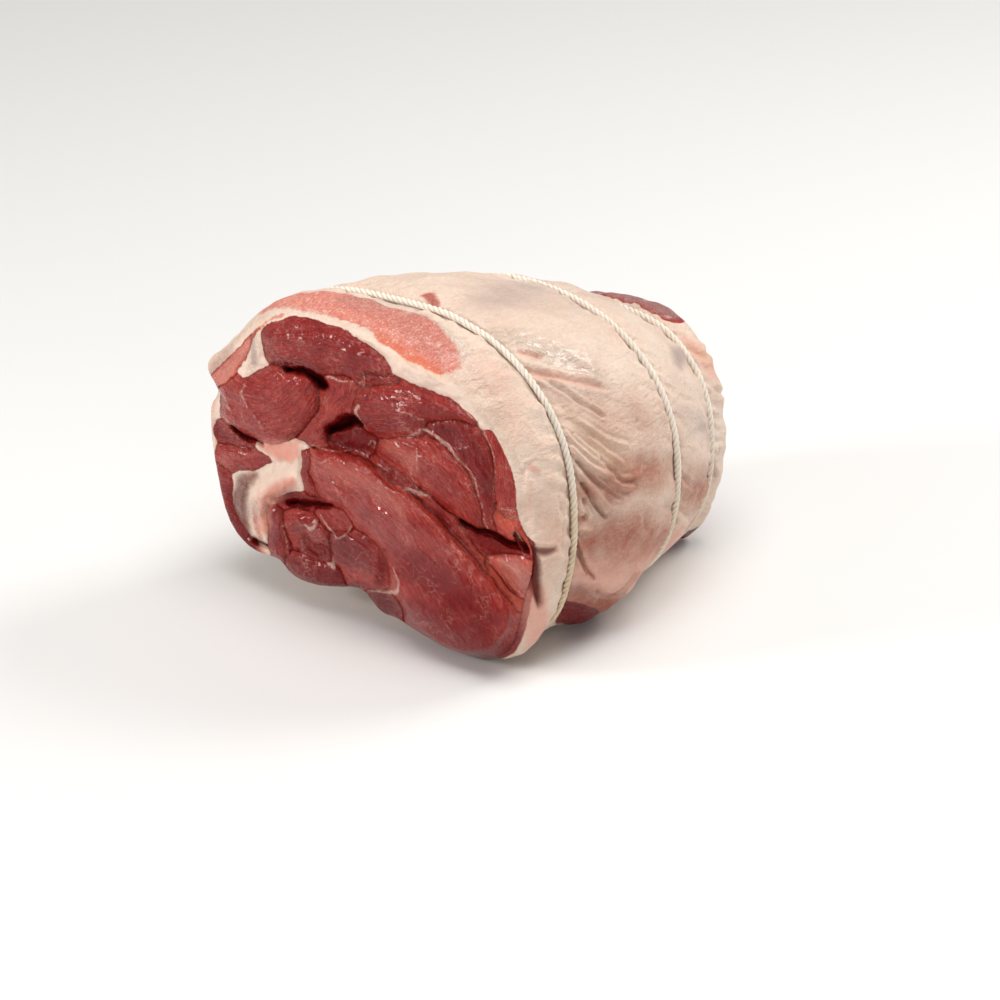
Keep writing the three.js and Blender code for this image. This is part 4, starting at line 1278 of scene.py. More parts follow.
    def _sculpt(self, points: np.ndarray, normals: np.ndarray) -> tuple[np.ndarray, Fields]:
        """Works out every vertex's place and what the finish reads there.

        Args:
            points: The even skin's vertices.
            normals: Its normals.

        Returns:
            The sculpted vertices and the fields of the finish.
        """
        fields = Fields(len(points))
        share, inside, angle = self._rim_share(points)
        cut = share < 1.5
        height = self._side_height(points, ~cut, fields)
        into_end = smooth((points[:, 1] - self.shank_y + 1) / self.shank_blend)
        height += into_end * (self._shank_height(points, fields) - height)
        moved = points + height[:, None] * normals
        self._sculpt_cut(points, share, cut, moved, fields)
        band = inside - np.interp(angle, self.band_angles, self.band_widths)
        flesh = fields.values["flesh"]
        round_the_rim = np.maximum(flesh, np.minimum(band, FLESH_REACH))
        fields.values["flesh"] = np.where(cut, np.minimum(flesh, band), round_the_rim)
        self._seat_loops(moved)
        moved[:, 2] = np.maximum(moved[:, 2], self.rest_height)
        return moved, fields

    def _sculpt_cut(
        self, points: np.ndarray, share: np.ndarray, cut: np.ndarray, moved: np.ndarray, fields: Fields
    ) -> None:
        """Brings out the muscles of the cut face and opens its gaps.

        Args:
            points: The even skin's vertices.
            share: Each one's share of the way to the rim.
            cut: Which of them are on the cut.
            moved: The sculpted vertices, which this changes.
            fields: The fields of the finish, which this fills.
        """
        flat = points[cut][:, [0, 2]]
        x = sum((swell.at(flat) for swell in self.warp_across), flat[:, 0])
        z = sum((swell.at(flat) for swell in self.warp_up), flat[:, 1])
        reading = MuscleMap(Area.CUT, spread=self.flesh_spread).read(x, z)
        clear = smooth((1 - share[cut]) * 16)
        fibres = self.fibre_lumps.at(reading.grain * np.array([0.16, 1.0, 1.0]))
        lumps = sum(swell.at(flat) for swell in self.cut_lumps)
        lumps += 0.12 * fibres * smooth(reading.seam / 2)
        dome = self.cut_dome * (1 - share[cut] ** 4)
        out = dome + clear * (reading.relief + lumps)
        white = np.max([-chain_distance(x, z, rounded(line)) for line in WHITE_LINES], 0)
        out += clear * 0.35 * smooth(white + 1)
        # Each gap's depth, and the painted shade that it lays round itself, darker where it is deeper.
        depth, dark = np.zeros(len(x)), np.zeros(len(x))
        open_here = smooth((1 - share[cut]) * 60)
        for gap in GAPS:
            near = chain_distance(x, z, rounded(gap.chain))
            depth += gap.depth * smooth(1 - near / gap.slope)
            dark = np.maximum(dark, smooth(0.75 - near / gap.slope) * min(1.0, gap.depth / 3))
        forward = out[:, None] * np.array(self.lean)
        inward = (open_here * depth)[:, None] * np.array(self.gap_lean)
        moved[cut] += forward - inward
        fields.lay_muscles(cut, reading)
        fields.lay_patches(cut, Area.CUT, x, z)
        fields.values["white"][cut] = np.clip(white, -WHITE_REACH, WHITE_REACH)
        # The gaps' painted shade, for the finish.
        fields.values["gap"][cut] = dark
        fields.values["cut"][cut] = smooth((1 - share[cut]) * 30)

    def _side_height(self, points: np.ndarray, side: np.ndarray, fields: Fields) -> np.ndarray:
        """How far the cover's folds and puckers stand out.

        Args:
            points: The even skin's vertices.
            side: Which of them aren't on the cut.
            fields: The fields of the finish, which this fills.

        Returns:
            The height at each vertex, in mm.
        """
        _, angle = self.axis.polar(points)
        y, arc = points[side, 1], angle[side] * MM_PER_DEGREE
        reading = MuscleMap(Area.SIDE, spread=0.0).read(y, arc)
        fields.lay_muscles(side, reading)
        fields.lay_patches(side, Area.SIDE, y, arc)
        body = points[side]
        height = sum(swell.at(body) for swell in self.cover_lumps)
        height += 0.5 * smooth(reading.flesh / 2 + 0.5) * (reading.relief / 1.5 - 0.4)
        nearest = np.min([np.abs(y - loop.along) for loop in self.loops], 0)
        pucker = 0.55 * bell(np.maximum(nearest - 2.5, 0), 4.5) * smooth((nearest - 1.2) / 2)
        slanted = np.stack([arc + 0.5 * y, 0.22 * y], 1)
        height += pucker * ripple(slanted, 7.5, seed=13)
        height += 0.75 * bell(nearest - 3.2, 1.1)
        for crease in CREASES:
            chain = tuple((a, b * MM_PER_DEGREE, r) for a, b, r in rounded(crease.chain))
            near = np.maximum(chain_distance(y, arc, chain), 0)
            height -= crease.depth * np.exp(-((near / crease.width) ** 2))
            height += crease.lip * np.exp(-(((near - 2.1 * crease.width) / crease.width) ** 2))
        height += self._fine_folds(y, arc)
        long_ones, small_ones = self.damp_lumps
        puckers = long_ones.at(body * np.array([1.0, 0.6, 1.0])) + small_ones.at(body)
        height += fields.values["wet"][side] * puckers
        keep = smooth((y - self.cut_skew * body[:, 0] - self.cut_y) / 3)
        stands = np.zeros(len(points))
        stands[side] = height * keep
        return stands

    def _fine_folds(self, y: np.ndarray, arc: np.ndarray) -> np.ndarray:
        """Many shallow folds that fan out behind the first loop and turn along the roll.

        Args:
            y: How far along the roll each vertex is.
            arc: How far round it.

        Returns:
            The height at each vertex, in mm.
        """
        dice = np.random.default_rng(self.fold_seed)
        height = np.zeros(len(y))
        near = (y > -2) & (y < 60) & (arc > -45) & (arc < 75)
        for _ in range(self.fold_count):
            start = dice.uniform(-14, 50) * MM_PER_DEGREE
            reach = dice.uniform(9, 34)
            fall = dice.uniform(0.35, 0.75) * reach
            begin = dice.uniform(1.5, 8)
            steps = [(begin + reach * t, start - fall * t ** 0.7, 0) for t in (0, 0.25, 0.5, 0.75, 1)]
            far = chain_distance(y[near], arc[near], tuple(steps))
            along = smooth(1.15 - (y[near] - begin) / reach)
            depth = dice.uniform(0.12, 0.38)
            width = dice.uniform(0.7, 1.2)
            height[near] -= depth * along * np.exp(-((far / width) ** 2))
        return height

    def _shank_height(self, points: np.ndarray, fields: Fields) -> np.ndarray:
        """How far the muscles that close over the shank end stand out.

        Args:
            points: The even skin's vertices.
            fields: The fields of the finish, which this fills.

        Returns:
            The height at each vertex, in mm.
        """
        end = points[:, 1] > self.shank_y + 1
        x, z = points[end, 0], points[end, 2]
        reading = MuscleMap(Area.SHANK, spread=self.flesh_spread).read(x, z)
        furrow = np.exp(-((reading.seam / 1.1) ** 2))
        height = sum(swell.at(points[end]) for swell in self.end_lumps) - 0.7 * furrow
        fields.lay_muscles(end, reading)
        fields.lay_patches(end, Area.SHANK, x, z)
        stands = np.zeros(len(points))
        stands[end] = height
        return stands

    def _seat_loops(self, moved: np.ndarray) -> None:
        """Keeps the skin just under each loop of twine, and lets it rise against its sides.

        Args:
            moved: The sculpted vertices, which this changes.
        """
        radius, angle = self.axis.polar(moved)
        way = self.axis.outward(moved)
        change = np.zeros(len(moved))
        for loop in self.loops:
            beside = np.abs(moved[:, 1] - loop.along)
            reach = np.sqrt(np.maximum(self.twine_radius ** 2 - beside ** 2, 0))
            most = loop.radius_at(angle) - reach + np.maximum(beside - self.twine_radius, 0) * 1.4
            least = loop.radius_at(angle) - reach - 0.5
            near = beside < 4
            change = np.where(near, np.minimum(change, most - radius), change)
            under = beside < self.twine_radius
            change = np.where(under, np.maximum(change, np.minimum(least - radius, 0.4)), change)
        moved += change[:, None] * way


# ---------------------------------------------------------------- shader building


class Wire:
    """A socket that adds a Math node for each operator used on it."""

    def __init__(self, nodes: "Nodes", socket: bpy.types.NodeSocket) -> None:
        """Wraps an output socket of a node tree."""
        self.nodes = nodes
        self.socket = socket

    def _math(self, operation: str, first: "Wire | float", second: "Wire | float") -> "Wire":
        """Adds one Math node."""
        return self.nodes.add("ShaderNodeMath", {"operation": operation}, {0: first, 1: second})

    def __add__(self, other: "Wire | float") -> "Wire":
        """self + other."""
        return self._math("ADD", self, other)

    __radd__ = __add__

    def __mul__(self, other: "Wire | float") -> "Wire":
        """self * other."""
        return self._math("MULTIPLY", self, other)

    __rmul__ = __mul__

    def __sub__(self, other: "Wire | float") -> "Wire":
        """self - other."""
        return self._math("SUBTRACT", self, other)

    def __rsub__(self, other: "Wire | float") -> "Wire":
        """other - self."""
        return self._math("SUBTRACT", other, self)

    def __abs__(self) -> "Wire":
        """The size of self."""
        return self._math("ABSOLUTE", self, 0.0)

    def eased(self, low: float, high: float) -> "Wire":
        """0 at low, 1 at high, with level ends."""
        inputs = {"Value": self, "From Min": low, "From Max": high, "To Min": 0.0, "To Max": 1.0}
        return self.nodes.add("ShaderNodeMapRange", {"interpolation_type": "SMOOTHSTEP"}, inputs)


class Nodes:
    """Builds one material's node tree."""

    def __init__(self, name: str) -> None:
        """Starts a material with an empty tree."""
        self.material = bpy.data.materials.new(name)
        self.material.use_nodes = True
        self.tree = self.material.node_tree
        self.tree.nodes.clear()

    def add(
        self, kind: str, settings: dict | None = None, inputs: dict | None = None, output: int | str = 0
    ) -> Wire:
        """Adds one node.

        Args:
            kind: The node's type.
            settings: Its properties; "stops" are a ramp's (position, colour) pairs.
            inputs: Values or wires by the names or numbers of its sockets.
            output: Which output is wrapped.

        Returns:
            The chosen output.
        """
        made = self.tree.nodes.new(kind)
        for name, value in (settings or {}).items():
            if name == "stops":
                self._set_stops(made.color_ramp, value)
            else:
                setattr(made, name, value)
        for key, value in (inputs or {}).items():
            if isinstance(value, Wire):
                self.tree.links.new(value.socket, made.inputs[key])
            else:
                made.inputs[key].default_value = value
        return Wire(self, made.outputs[output])

    def _set_stops(self, ramp: bpy.types.ColorRamp, stops: list) -> None:
        """Gives a colour ramp its stops."""
        while len(ramp.elements) < len(stops):
            ramp.elements.new(0.5)
        for element, (position, colour) in zip(ramp.elements, stops):
            element.position = position
            element.color = colour

    def value(self, name: str) -> Wire:
        """Reads a number that the mesh holds at each vertex."""
        return self.add("ShaderNodeAttribute", {"attribute_name": name}, output="Fac")

    def vector(self, name: str) -> Wire:
        """Reads a vector that the mesh holds at each vertex."""
        return self.add("ShaderNodeAttribute", {"attribute_name": name}, output="Vector")

    def millimetres(self) -> Wire:
        """Object coordinates, in millimetres."""
        place = self.add("ShaderNodeTexCoord", output="Object")
        return self.scaled(place, (1000, 1000, 1000))

    def scaled(self, vector: Wire, by: tuple[float, float, float]) -> Wire:
        """Stretches a vector along each axis."""
        return self.add("ShaderNodeVectorMath", {"operation": "MULTIPLY"}, {0: vector, 1: by})

    def noise(self, vector: Wire, scale: float, detail: float = 2.0, rough: float = 0.5) -> Wire:
        """Noise about 0, from about -0.5 to 0.5."""
        inputs = {"Vector": vector, "Scale": scale, "Detail": detail, "Roughness": rough}
        return self.add("ShaderNodeTexNoise", None, inputs) - 0.5

    def ramp(self, share: Wire, stops: list) -> Wire:
        """A colour that goes from stop to stop."""
        return self.add("ShaderNodeValToRGB", {"stops": stops}, {"Fac": share})

    def blend(self, under: "Wire | tuple", over: "Wire | tuple", share: "Wire | float") -> Wire:
        """Lays one colour over another."""
        settings = {"data_type": "RGBA", "clamp_factor": True}
        return self.add("ShaderNodeMix", settings, {0: share, 6: under, 7: over}, output=2)

    def bump(self, height: Wire, distance: float) -> Wire:
        """Tilts the surface by a relief that is the given distance high, in metres."""
        inputs = {"Height": height, "Distance": distance, "Strength": 0.9}
        return self.add("ShaderNodeBump", None, inputs, "Normal")

    def surface(self, inputs: dict) -> bpy.types.Material:
        """Ends the tree with a Principled shader that has these inputs."""
        shader = self.add("ShaderNodeBsdfPrincipled", None, inputs)
        self.add_output(shader)
        return self.material

    def add_output(self, shader: Wire) -> None:
        """Ends the tree with its output."""
        made = self.tree.nodes.new("ShaderNodeOutputMaterial")
        self.tree.links.new(shader.socket, made.inputs["Surface"])


@dataclass(frozen=True)
class MeatFinish:
    """Moist raw flesh, its seams, and the fat cover.

    Attributes:
        flesh_stops: Flesh from its darkest to its palest tone.
        cream: The cover's plain fat.
        shade: Fat in its hollows and thin places.
        pink: Fat where flesh shows through it.
        plum: The darker purplish flesh.
        skin: The greyish skin over fat or flesh.
        straw: Yellowish fat.
        darker_fat_and_shade: Darker pinkish fat low on the sides, also painted shade there and in the
            creases.
        hide: Thin brownish skin over dark flesh on the cut.
        salmon: Flesh that shows through a thin cover.
        orange: Its thin edge, with a warm cast.
        blood_and_seam_shade: Wet dark red of bleeding flesh, and painted shade along the seams between red
            muscles and in the creases.
        blood_red_and_gap_shade: Saturated red of wet flesh, and painted shade on the walls round the gaps.
        gap_shadow: Painted shade deep inside the gaps, near-black red.
        seam_fat: The white seams of fat.
        membrane: The thin skins between muscles.
    """

    flesh_stops: tuple = (
        (0.0, paint(62, 2, 4)),
        (0.28, paint(108, 10, 10)),
        (0.5, paint(148, 33, 28)),
        (0.74, paint(188, 76, 64)),
        (1.0, paint(226, 150, 132)),
    )
    cream: tuple = paint(232, 212, 195)
    shade: tuple = paint(208, 174, 152)
    pink: tuple = paint(222, 152, 134)
    plum: tuple = paint(118, 34, 38)
    skin: tuple = paint(166, 145, 140)
    straw: tuple = paint(218, 176, 136)
    darker_fat_and_shade: tuple = paint(164, 94, 72)
    hide: tuple = paint(108, 64, 54)
    salmon: tuple = paint(202, 98, 84)
    orange: tuple = paint(214, 96, 62)
    blood_and_seam_shade: tuple = paint(112, 8, 8)
    blood_red_and_gap_shade: tuple = paint(146, 16, 13)
    gap_shadow: tuple = paint(58, 1, 3)
    seam_fat: tuple = paint(232, 196, 182)
    membrane: tuple = paint(204, 146, 134)

    def material(self) -> bpy.types.Material:
        """Builds the material.

        Returns:
            The finished material.
        """
        nodes = Nodes("raw_meat")
        place = nodes.millimetres()
        wobble = nodes.noise(place, 0.55, 3, 0.6)
        blotch = nodes.noise(place, 0.1, 2)
        grain = nodes.vector("grain")
        streak = nodes.noise(nodes.scaled(grain, (0.1, 1.0, 1.0)), 1.25, 3, 0.6)
        thread = nodes.noise(nodes.scaled(grain, (0.3, 2.2, 1.0)), 1.2, 2, 0.6)
        flesh_share = (nodes.value("flesh") + wobble * 0.9).eased(-0.25, 0.3)
        flesh = self._flesh(nodes, place, wobble, blotch, streak, thread)
        fat = self._fat(nodes, place, wobble, blotch)
        white_share = (nodes.value("white") + wobble * 1.3 + thread * 0.8).eased(-0.3, 0.6)
        body = nodes.blend(fat, flesh, flesh_share)
        body = nodes.blend(body, self.seam_fat, white_share * (0.55 + wobble * 1.6))
        # Painted shade: the gaps go near-black red where they open, more so where they are deeper.
        gap_shade = nodes.value("gap").eased(0.3, 0.9)
        body = nodes.blend(body, self.gap_shadow, gap_shade * 0.95)
        wet = nodes.value("wet")
        beads = nodes.noise(place, 1.1, 2, 0.7)
        relief = flesh_share * (streak * 1.0 + thread * 0.7)
        relief = relief + (1 - flesh_share) * self._fat_relief(nodes, place)
        relief = relief + (wet * 1.7 + flesh_share * 0.52) * beads + white_share * 0.2
        bump = nodes.bump(relief, 0.0009)
        rough = 0.44 + flesh_share * -0.17 - wet * 0.18 + wobble * 0.2
        edges = 0.5 + nodes.value("seam").eased(0.0, 0.8) * 0.5
        shine = (1 - gap_shade) * edges * (1 - nodes.value("blood_and_shade") * 0.4)
        shared = {
            "Base Color": body,
            "Normal": bump,
            "Subsurface Weight": 0.15,
            "Subsurface Radius": (1.0, 0.3, 0.16),
            "Subsurface Scale": 0.0026,
        }
        matte = nodes.add("ShaderNodeBsdfPrincipled", None, shared | {
            "Roughness": 0.8,
            "Specular IOR Level": 0.06,
        })
        glossy = nodes.add("ShaderNodeBsdfPrincipled", None, shared | {
            "Roughness": rough,
            "Specular IOR Level": 0.22,
            "Coat Weight": (wet * 0.62 + flesh_share * 0.3) * edges,
            "Coat Roughness": 0.13,
        })
        nodes.add_output(nodes.add("ShaderNodeMixShader", None, {0: shine, 1: matte, 2: glossy}))
        return nodes.material

    def _flesh(
        self, nodes: Nodes, place: Wire, wobble: Wire, blotch: Wire, streak: Wire, thread: Wire
    ) -> Wire:
        """The colour of the flesh.

        Args:
            nodes: The material's nodes.
            place: The place in the roll, in mm.
            wobble: Small unevenness.
            blotch: Large unevenness.
            streak: Bundles of fibres.
            thread: Single fibres.

        Returns:
            The colour.
        """
        seam, cut = nodes.value("seam"), nodes.value("cut")
        # A paler, warmer band just inside each muscle's border, through the tone and the orange below:
        # painted highlight along the rims.
        edge = (3.0 - seam).eased(0.0, 2.6) * seam.eased(0.2, 0.8)
        strand = streak.eased(-0.14, 0.16) - 0.5
        tone = 0.5 + nodes.value("tone") * 0.5 + strand * 0.13 + thread * 0.4
        tone = tone + blotch * 0.25 + edge * 0.05
        # Blood, and painted shade in recesses, folds and low down: there the flesh goes darker and redder.
        flesh = nodes.ramp(tone - nodes.value("blood_and_shade") * 0.34, list(self.flesh_stops))
        flesh = nodes.blend(flesh, self.pink, nodes.value("flush") * 0.6)
        veiled = nodes.blend(self.skin, self.plum, cut)
        flesh = nodes.blend(flesh, veiled, nodes.value("mauve") * (0.7 + streak * 0.8))
        flesh = nodes.blend(flesh, self.orange, nodes.value("amber") * (0.5 + blotch) + edge * 0.08)
        flesh = nodes.blend(flesh, self.blood_red_and_gap_shade, nodes.value("blood_and_shade") * 0.5)
        plain = 1 - nodes.value("blood_and_shade") * 0.9
        fine_lines = (thread * 1.0 + streak * 0.7).eased(0.15, 0.27) * (0.5 + blotch * 2.4)
        flesh = nodes.blend(flesh, self.membrane, fine_lines * plain * (0.15 + cut * 0.4))
        # Along the seams between red muscles: a pale membrane, and a painted dark line of shade.
        border = (0.5 - seam + wobble * 0.4).eased(0.0, 0.5)
        flesh = nodes.blend(flesh, self.membrane, border * (0.12 + blotch * 2.2))
        flesh = nodes.blend(flesh, self.blood_and_seam_shade, border * (0.5 - blotch * 2.0) * 0.7)
        veins = (0.03 - abs(nodes.noise(place, 0.2, 3, 0.6))).eased(0.0, 0.03) * (0.12 + blotch * 2.0)
        flesh = nodes.blend(flesh, self.membrane, veins * cut)
        # Painted shade round the gaps: saturated red.
        gap_shade = nodes.value("gap")
        return nodes.blend(flesh, self.blood_red_and_gap_shade, gap_shade.eased(0.08, 0.5) * 0.85)

    def _fat(self, nodes: Nodes, place: Wire, wobble: Wire, blotch: Wire) -> Wire:
        """The colour of the fat cover.

        Args:
            nodes: The material's nodes.
            place: The place in the roll, in mm.
            wobble: Small unevenness.
            blotch: Large unevenness.

        Returns:
            The colour.
        """
        cloud = nodes.noise(place, 0.045, 3, 0.6)
        fleck = nodes.noise(nodes.scaled(place, (1.0, 0.5, 1.0)), 0.9, 3, 0.6)
        shaded = (0.32 + cloud * 1.3 + fleck * 0.9) * (1 - nodes.value("cut") * 0.75)
        fat = nodes.blend(self.cream, self.shade, shaded)
        rosy = nodes.value("flush") * 0.8 + nodes.value("cut") * 0.12 + wobble * 0.3 + blotch * 0.3
        fat = nodes.blend(fat, self.pink, rosy)
        fat = nodes.blend(fat, self.straw, nodes.value("amber") * 0.8)
        fat = nodes.blend(fat, self.skin, nodes.value("mauve") * (0.75 + blotch))
        # Darker pinkish fat low on the sides, with painted shade there and along the creases; on the cut,
        # brownish skin.
        fat = nodes.blend(fat, self.darker_fat_and_shade, nodes.value("darker_fat_and_shade") * (0.8 + blotch + fleck * 0.6))
        fat = nodes.blend(fat, self.hide, nodes.value("darker_fat_and_shade") * nodes.value("cut") * (0.7 + wobble * 1.6))
        raw = (nodes.value("raw") + wobble * 1.3 + blotch * 0.8).eased(0.2, 0.9)
        speckle = nodes.noise(place, 1.5, 2, 0.6)
        under = nodes.blend(self.salmon, self.pink, 0.45 + fleck * 2.2 + speckle * 2.2)
        under = nodes.blend(under, self.orange, nodes.value("amber") * (0.8 + speckle * 1.5))
        # Cream specks on the pink: partly specks of fat, partly painted highlights.
        under = nodes.blend(under, self.cream, (speckle + fleck * 0.6).eased(0.08, 0.28) * 0.65)
        fat = nodes.blend(fat, under, raw * 0.92)
        # Blood, and painted shade in the slots and creases: wet dark red.
        return nodes.blend(fat, self.blood_and_seam_shade, nodes.value("blood_and_shade") * 0.9)

    def _fat_relief(self, nodes: Nodes, place: Wire) -> Wire:
        """The fine relief of the cover: crinkles of several sizes, pulled along the roll.

        Args:
            nodes: The material's nodes.
            place: The place in the roll, in mm.

        Returns:
            The relief's height.
        """
        grainy = nodes.noise(place, 1.3, 3, 0.65)
        pulled = nodes.noise(nodes.scaled(place, (1.0, 0.3, 1.0)), 0.6, 3, 0.6)
        crinkle = abs(nodes.noise(nodes.scaled(place, (1.0, 0.55, 1.0)), 0.3, 4, 0.6))
        return (grainy * 0.45 + pulled * 0.8 - crinkle * 1.6) * (1 - nodes.value("cut") * 0.65)


@dataclass(frozen=True)
class TwineFinish:
    """Damp off-white cotton, yellower where it lies low.

    Attributes:
        cotton: The yarns' crowns.
        groove_shade: Painted shade in the grooves between the yarns.
        stained: Twine that is soaked through.
    """

    cotton: tuple = paint(248, 238, 224)
    groove_shade: tuple = paint(214, 194, 170)
    stained: tuple = paint(216, 186, 138)

    def material(self) -> bpy.types.Material:
        """Builds the material.

        Returns:
            The finished material.
        """
        nodes = Nodes("cotton_twine")
        place = nodes.millimetres()
        yarn = nodes.vector("yarn")
        fibre = nodes.noise(nodes.scaled(yarn, (0.5, 5.0, 1.0)), 1.6, 3, 0.65)
        patchy = nodes.noise(place, 0.12, 3, 0.6)
        # Painted shade: the grooves between the yarns are darker.
        colour = nodes.blend(self.groove_shade, self.cotton, nodes.value("crown").eased(0.45, 0.95) + fibre * 0.5)
        colour = nodes.blend(colour, self.stained, nodes.value("stain") * (0.7 + patchy * 1.4))
        bump = nodes.bump(fibre, 0.0003)
        return nodes.surface({
            "Base Color": colour,
            "Roughness": 0.78 + fibre * 0.2,
            "Normal": bump,
            "Subsurface Weight": 0.08,
            "Subsurface Radius": (1.0, 0.9, 0.8),
            "Subsurface Scale": 0.001,
        })


@dataclass(frozen=True)
class FloorFinish:
    """A plain pale floor.

    Attributes:
        pale: Its colour.
    """

    pale: tuple = paint(232, 231, 229)

    def material(self) -> bpy.types.Material:
        """Builds the material.

        Returns:
            The finished material.
        """
        nodes = Nodes("pale_floor")
        return nodes.surface({"Base Color": self.pale, "Roughness": 0.75})


# ---------------------------------------------------------------- the twine


@dataclass
class Twine:
    """One loop of twisted twine, in place of its plain ring.

    Attributes:
        line: The loop's centreline.
        place: Where the roll lies in the frame.
        axis: The roll's middle line.
        strands: How many yarns are twisted together.
        strand_radius: The radius of one yarn, in mm.
        twist_radius: How far a yarn's middle runs from the twine's, in mm.
        lay: How far along the twine a yarn makes one turn, in mm.
        steps_per_turn: Points of each yarn for one turn.
        measured_at: How many points the line is measured at.
        stain_depth: Strength of the yellow on the low part of the loop.
    """

    line: LoopLine
    place: Place
    axis: Axis
    strands: int = 3
    strand_radius: float = 0.78
    twist_radius: float = 0.62
    lay: float = 7.5
    steps_per_turn: int = 10
    measured_at: int = 200
    stain_depth: float = OTHER_STAIN

    def build(self, finish: TwineFinish) -> bpy.types.Object:
        """Makes the loop's mesh and gives it its finish.

        Args:
            finish: The finish of the twine.

        Returns:
            The finished piece.
        """
        _, length = self.line.resampled(self.measured_at)
        turns = round(length / self.lay)
        count = turns * self.steps_per_turn
        middle, _ = self.line.resampled(count)
        ahead = np.roll(middle, -1, 0) - np.roll(middle, 1, 0)
        ahead /= np.linalg.norm(ahead, axis=1, keepdims=True)
        out = self.axis.outward(middle)
        out -= (out * ahead).sum(1, keepdims=True) * ahead
        out /= np.linalg.norm(out, axis=1, keepdims=True)
        aside = np.cross(ahead, out)
        turn = math.tau * turns * np.arange(count) / count
        curve = bpy.data.curves.new(self.line.name, "CURVE")
        curve.dimensions = "3D"
        curve.bevel_depth = self.strand_radius / 1000
        curve.bevel_resolution = 1
        for strand in range(self.strands):
            phase = (turn + math.tau * strand / self.strands)[:, None]
            points = middle + self.twist_radius * (np.cos(phase) * out + np.sin(phase) * aside)
            spline = curve.splines.new("POLY")
            spline.points.add(count - 1)
            metres = self.place.to_frame(points)
            spline.points.foreach_set("co", np.column_stack([metres, np.ones(count)]).ravel())
            spline.use_cyclic_u = True
        piece = self._as_mesh(curve)
        self._write_fields(piece.data, middle, out, aside, length)
        piece.data.materials.append(finish.material())
        return piece

    def _as_mesh(self, curve: bpy.types.Curve) -> bpy.types.Object:
        """Turns the yarns' curves into a mesh with smooth faces.

        Args:
            curve: The yarns.

        Returns:
            The mesh's object.
        """
        drawn = bpy.data.objects.new(self.line.name + "_curve", curve)
        bpy.context.scene.collection.objects.link(drawn)
        settled = drawn.evaluated_get(bpy.context.evaluated_depsgraph_get())
        mesh = bpy.data.meshes.new_from_object(settled)
        bpy.data.objects.remove(drawn)
        form = bmesh.new()
        form.from_mesh(mesh)
        bmesh.ops.recalc_face_normals(form, faces=form.faces)
        smooth_faces(form)
        form.to_mesh(mesh)
        form.free()
        name = self.line.name.replace("twine", "cord")
        mesh.name = name
        piece = bpy.data.objects.new(name, mesh)
        bpy.context.scene.collection.objects.link(piece)
        return piece

    def _write_fields(
        self, mesh: bpy.types.Mesh, middle: np.ndarray, out: np.ndarray, aside: np.ndarray, length: float
    ) -> None:
        """Keeps where each vertex lies along, round and across the twine.

        Args:
            mesh: The loop's mesh.
            middle: The twine's centreline.
            out: The way outward at each of its points.
            aside: The way along the roll at each of its points.
            length: The centreline's length.
        """
        points = self.place.to_roll(np.array([v.co for v in mesh.vertices]))
        _, angle = self.axis.polar(points)
        _, middle_angle = self.axis.polar(middle)
        order = np.argsort(middle_angle)
        near = order[np.searchsorted(middle_angle[order], angle).clip(0, len(order) - 1)]
        off = points - middle[near]
        high, wide = (off * out[near]).sum(1), (off * aside[near]).sum(1)
        far = np.hypot(high, wide) / (self.twist_radius + self.strand_radius)
        along = near / len(middle) * length
        around = np.arctan2(wide, high) / math.tau * self.lay
        yarn = np.stack([along, along - around, np.zeros(len(points))], 1)
        held = mesh.attributes.new("yarn", "FLOAT_VECTOR", "POINT")
        held.data.foreach_set("vector", yarn.astype(np.float32).ravel())
        low = smooth((20 - angle) / 40) * smooth((angle + 70) / 30) * self.stain_depth
        for name, values in (("crown", far), ("stain", low)):
            held = mesh.attributes.new(name, "FLOAT", "POINT")
            held.data.foreach_set("value", values.astype(np.float32))


# ---------------------------------------------------------------- stage, light and camera


@dataclass(frozen=True)
class Lamp:
    """A square soft light that faces the roll.

    Attributes:
        name: Its name.
        spot: Where it stands, in metres.
        side: Its side, in metres.
        power: Its power, in watts.
        colour: Its colour.
    """

    name: str
    spot: tuple[float, float, float]
    side: float
    power: float
    colour: tuple[float, float, float] = (1.0, 0.99, 0.98)


LAMPS = (
    Lamp("key", (0.22, -0.2, 1.22), 0.85, 10.9, (1.0, 0.985, 0.965)),
    Lamp("back", (0.35, 0.8, 0.85), 0.42, 6.2),
    Lamp("front_fill", (-0.85, -1.25, 0.62), 0.33, 11.5),
    Lamp("side_fill", (1.25, -0.75, 0.5), 0.6, 2.2),
)


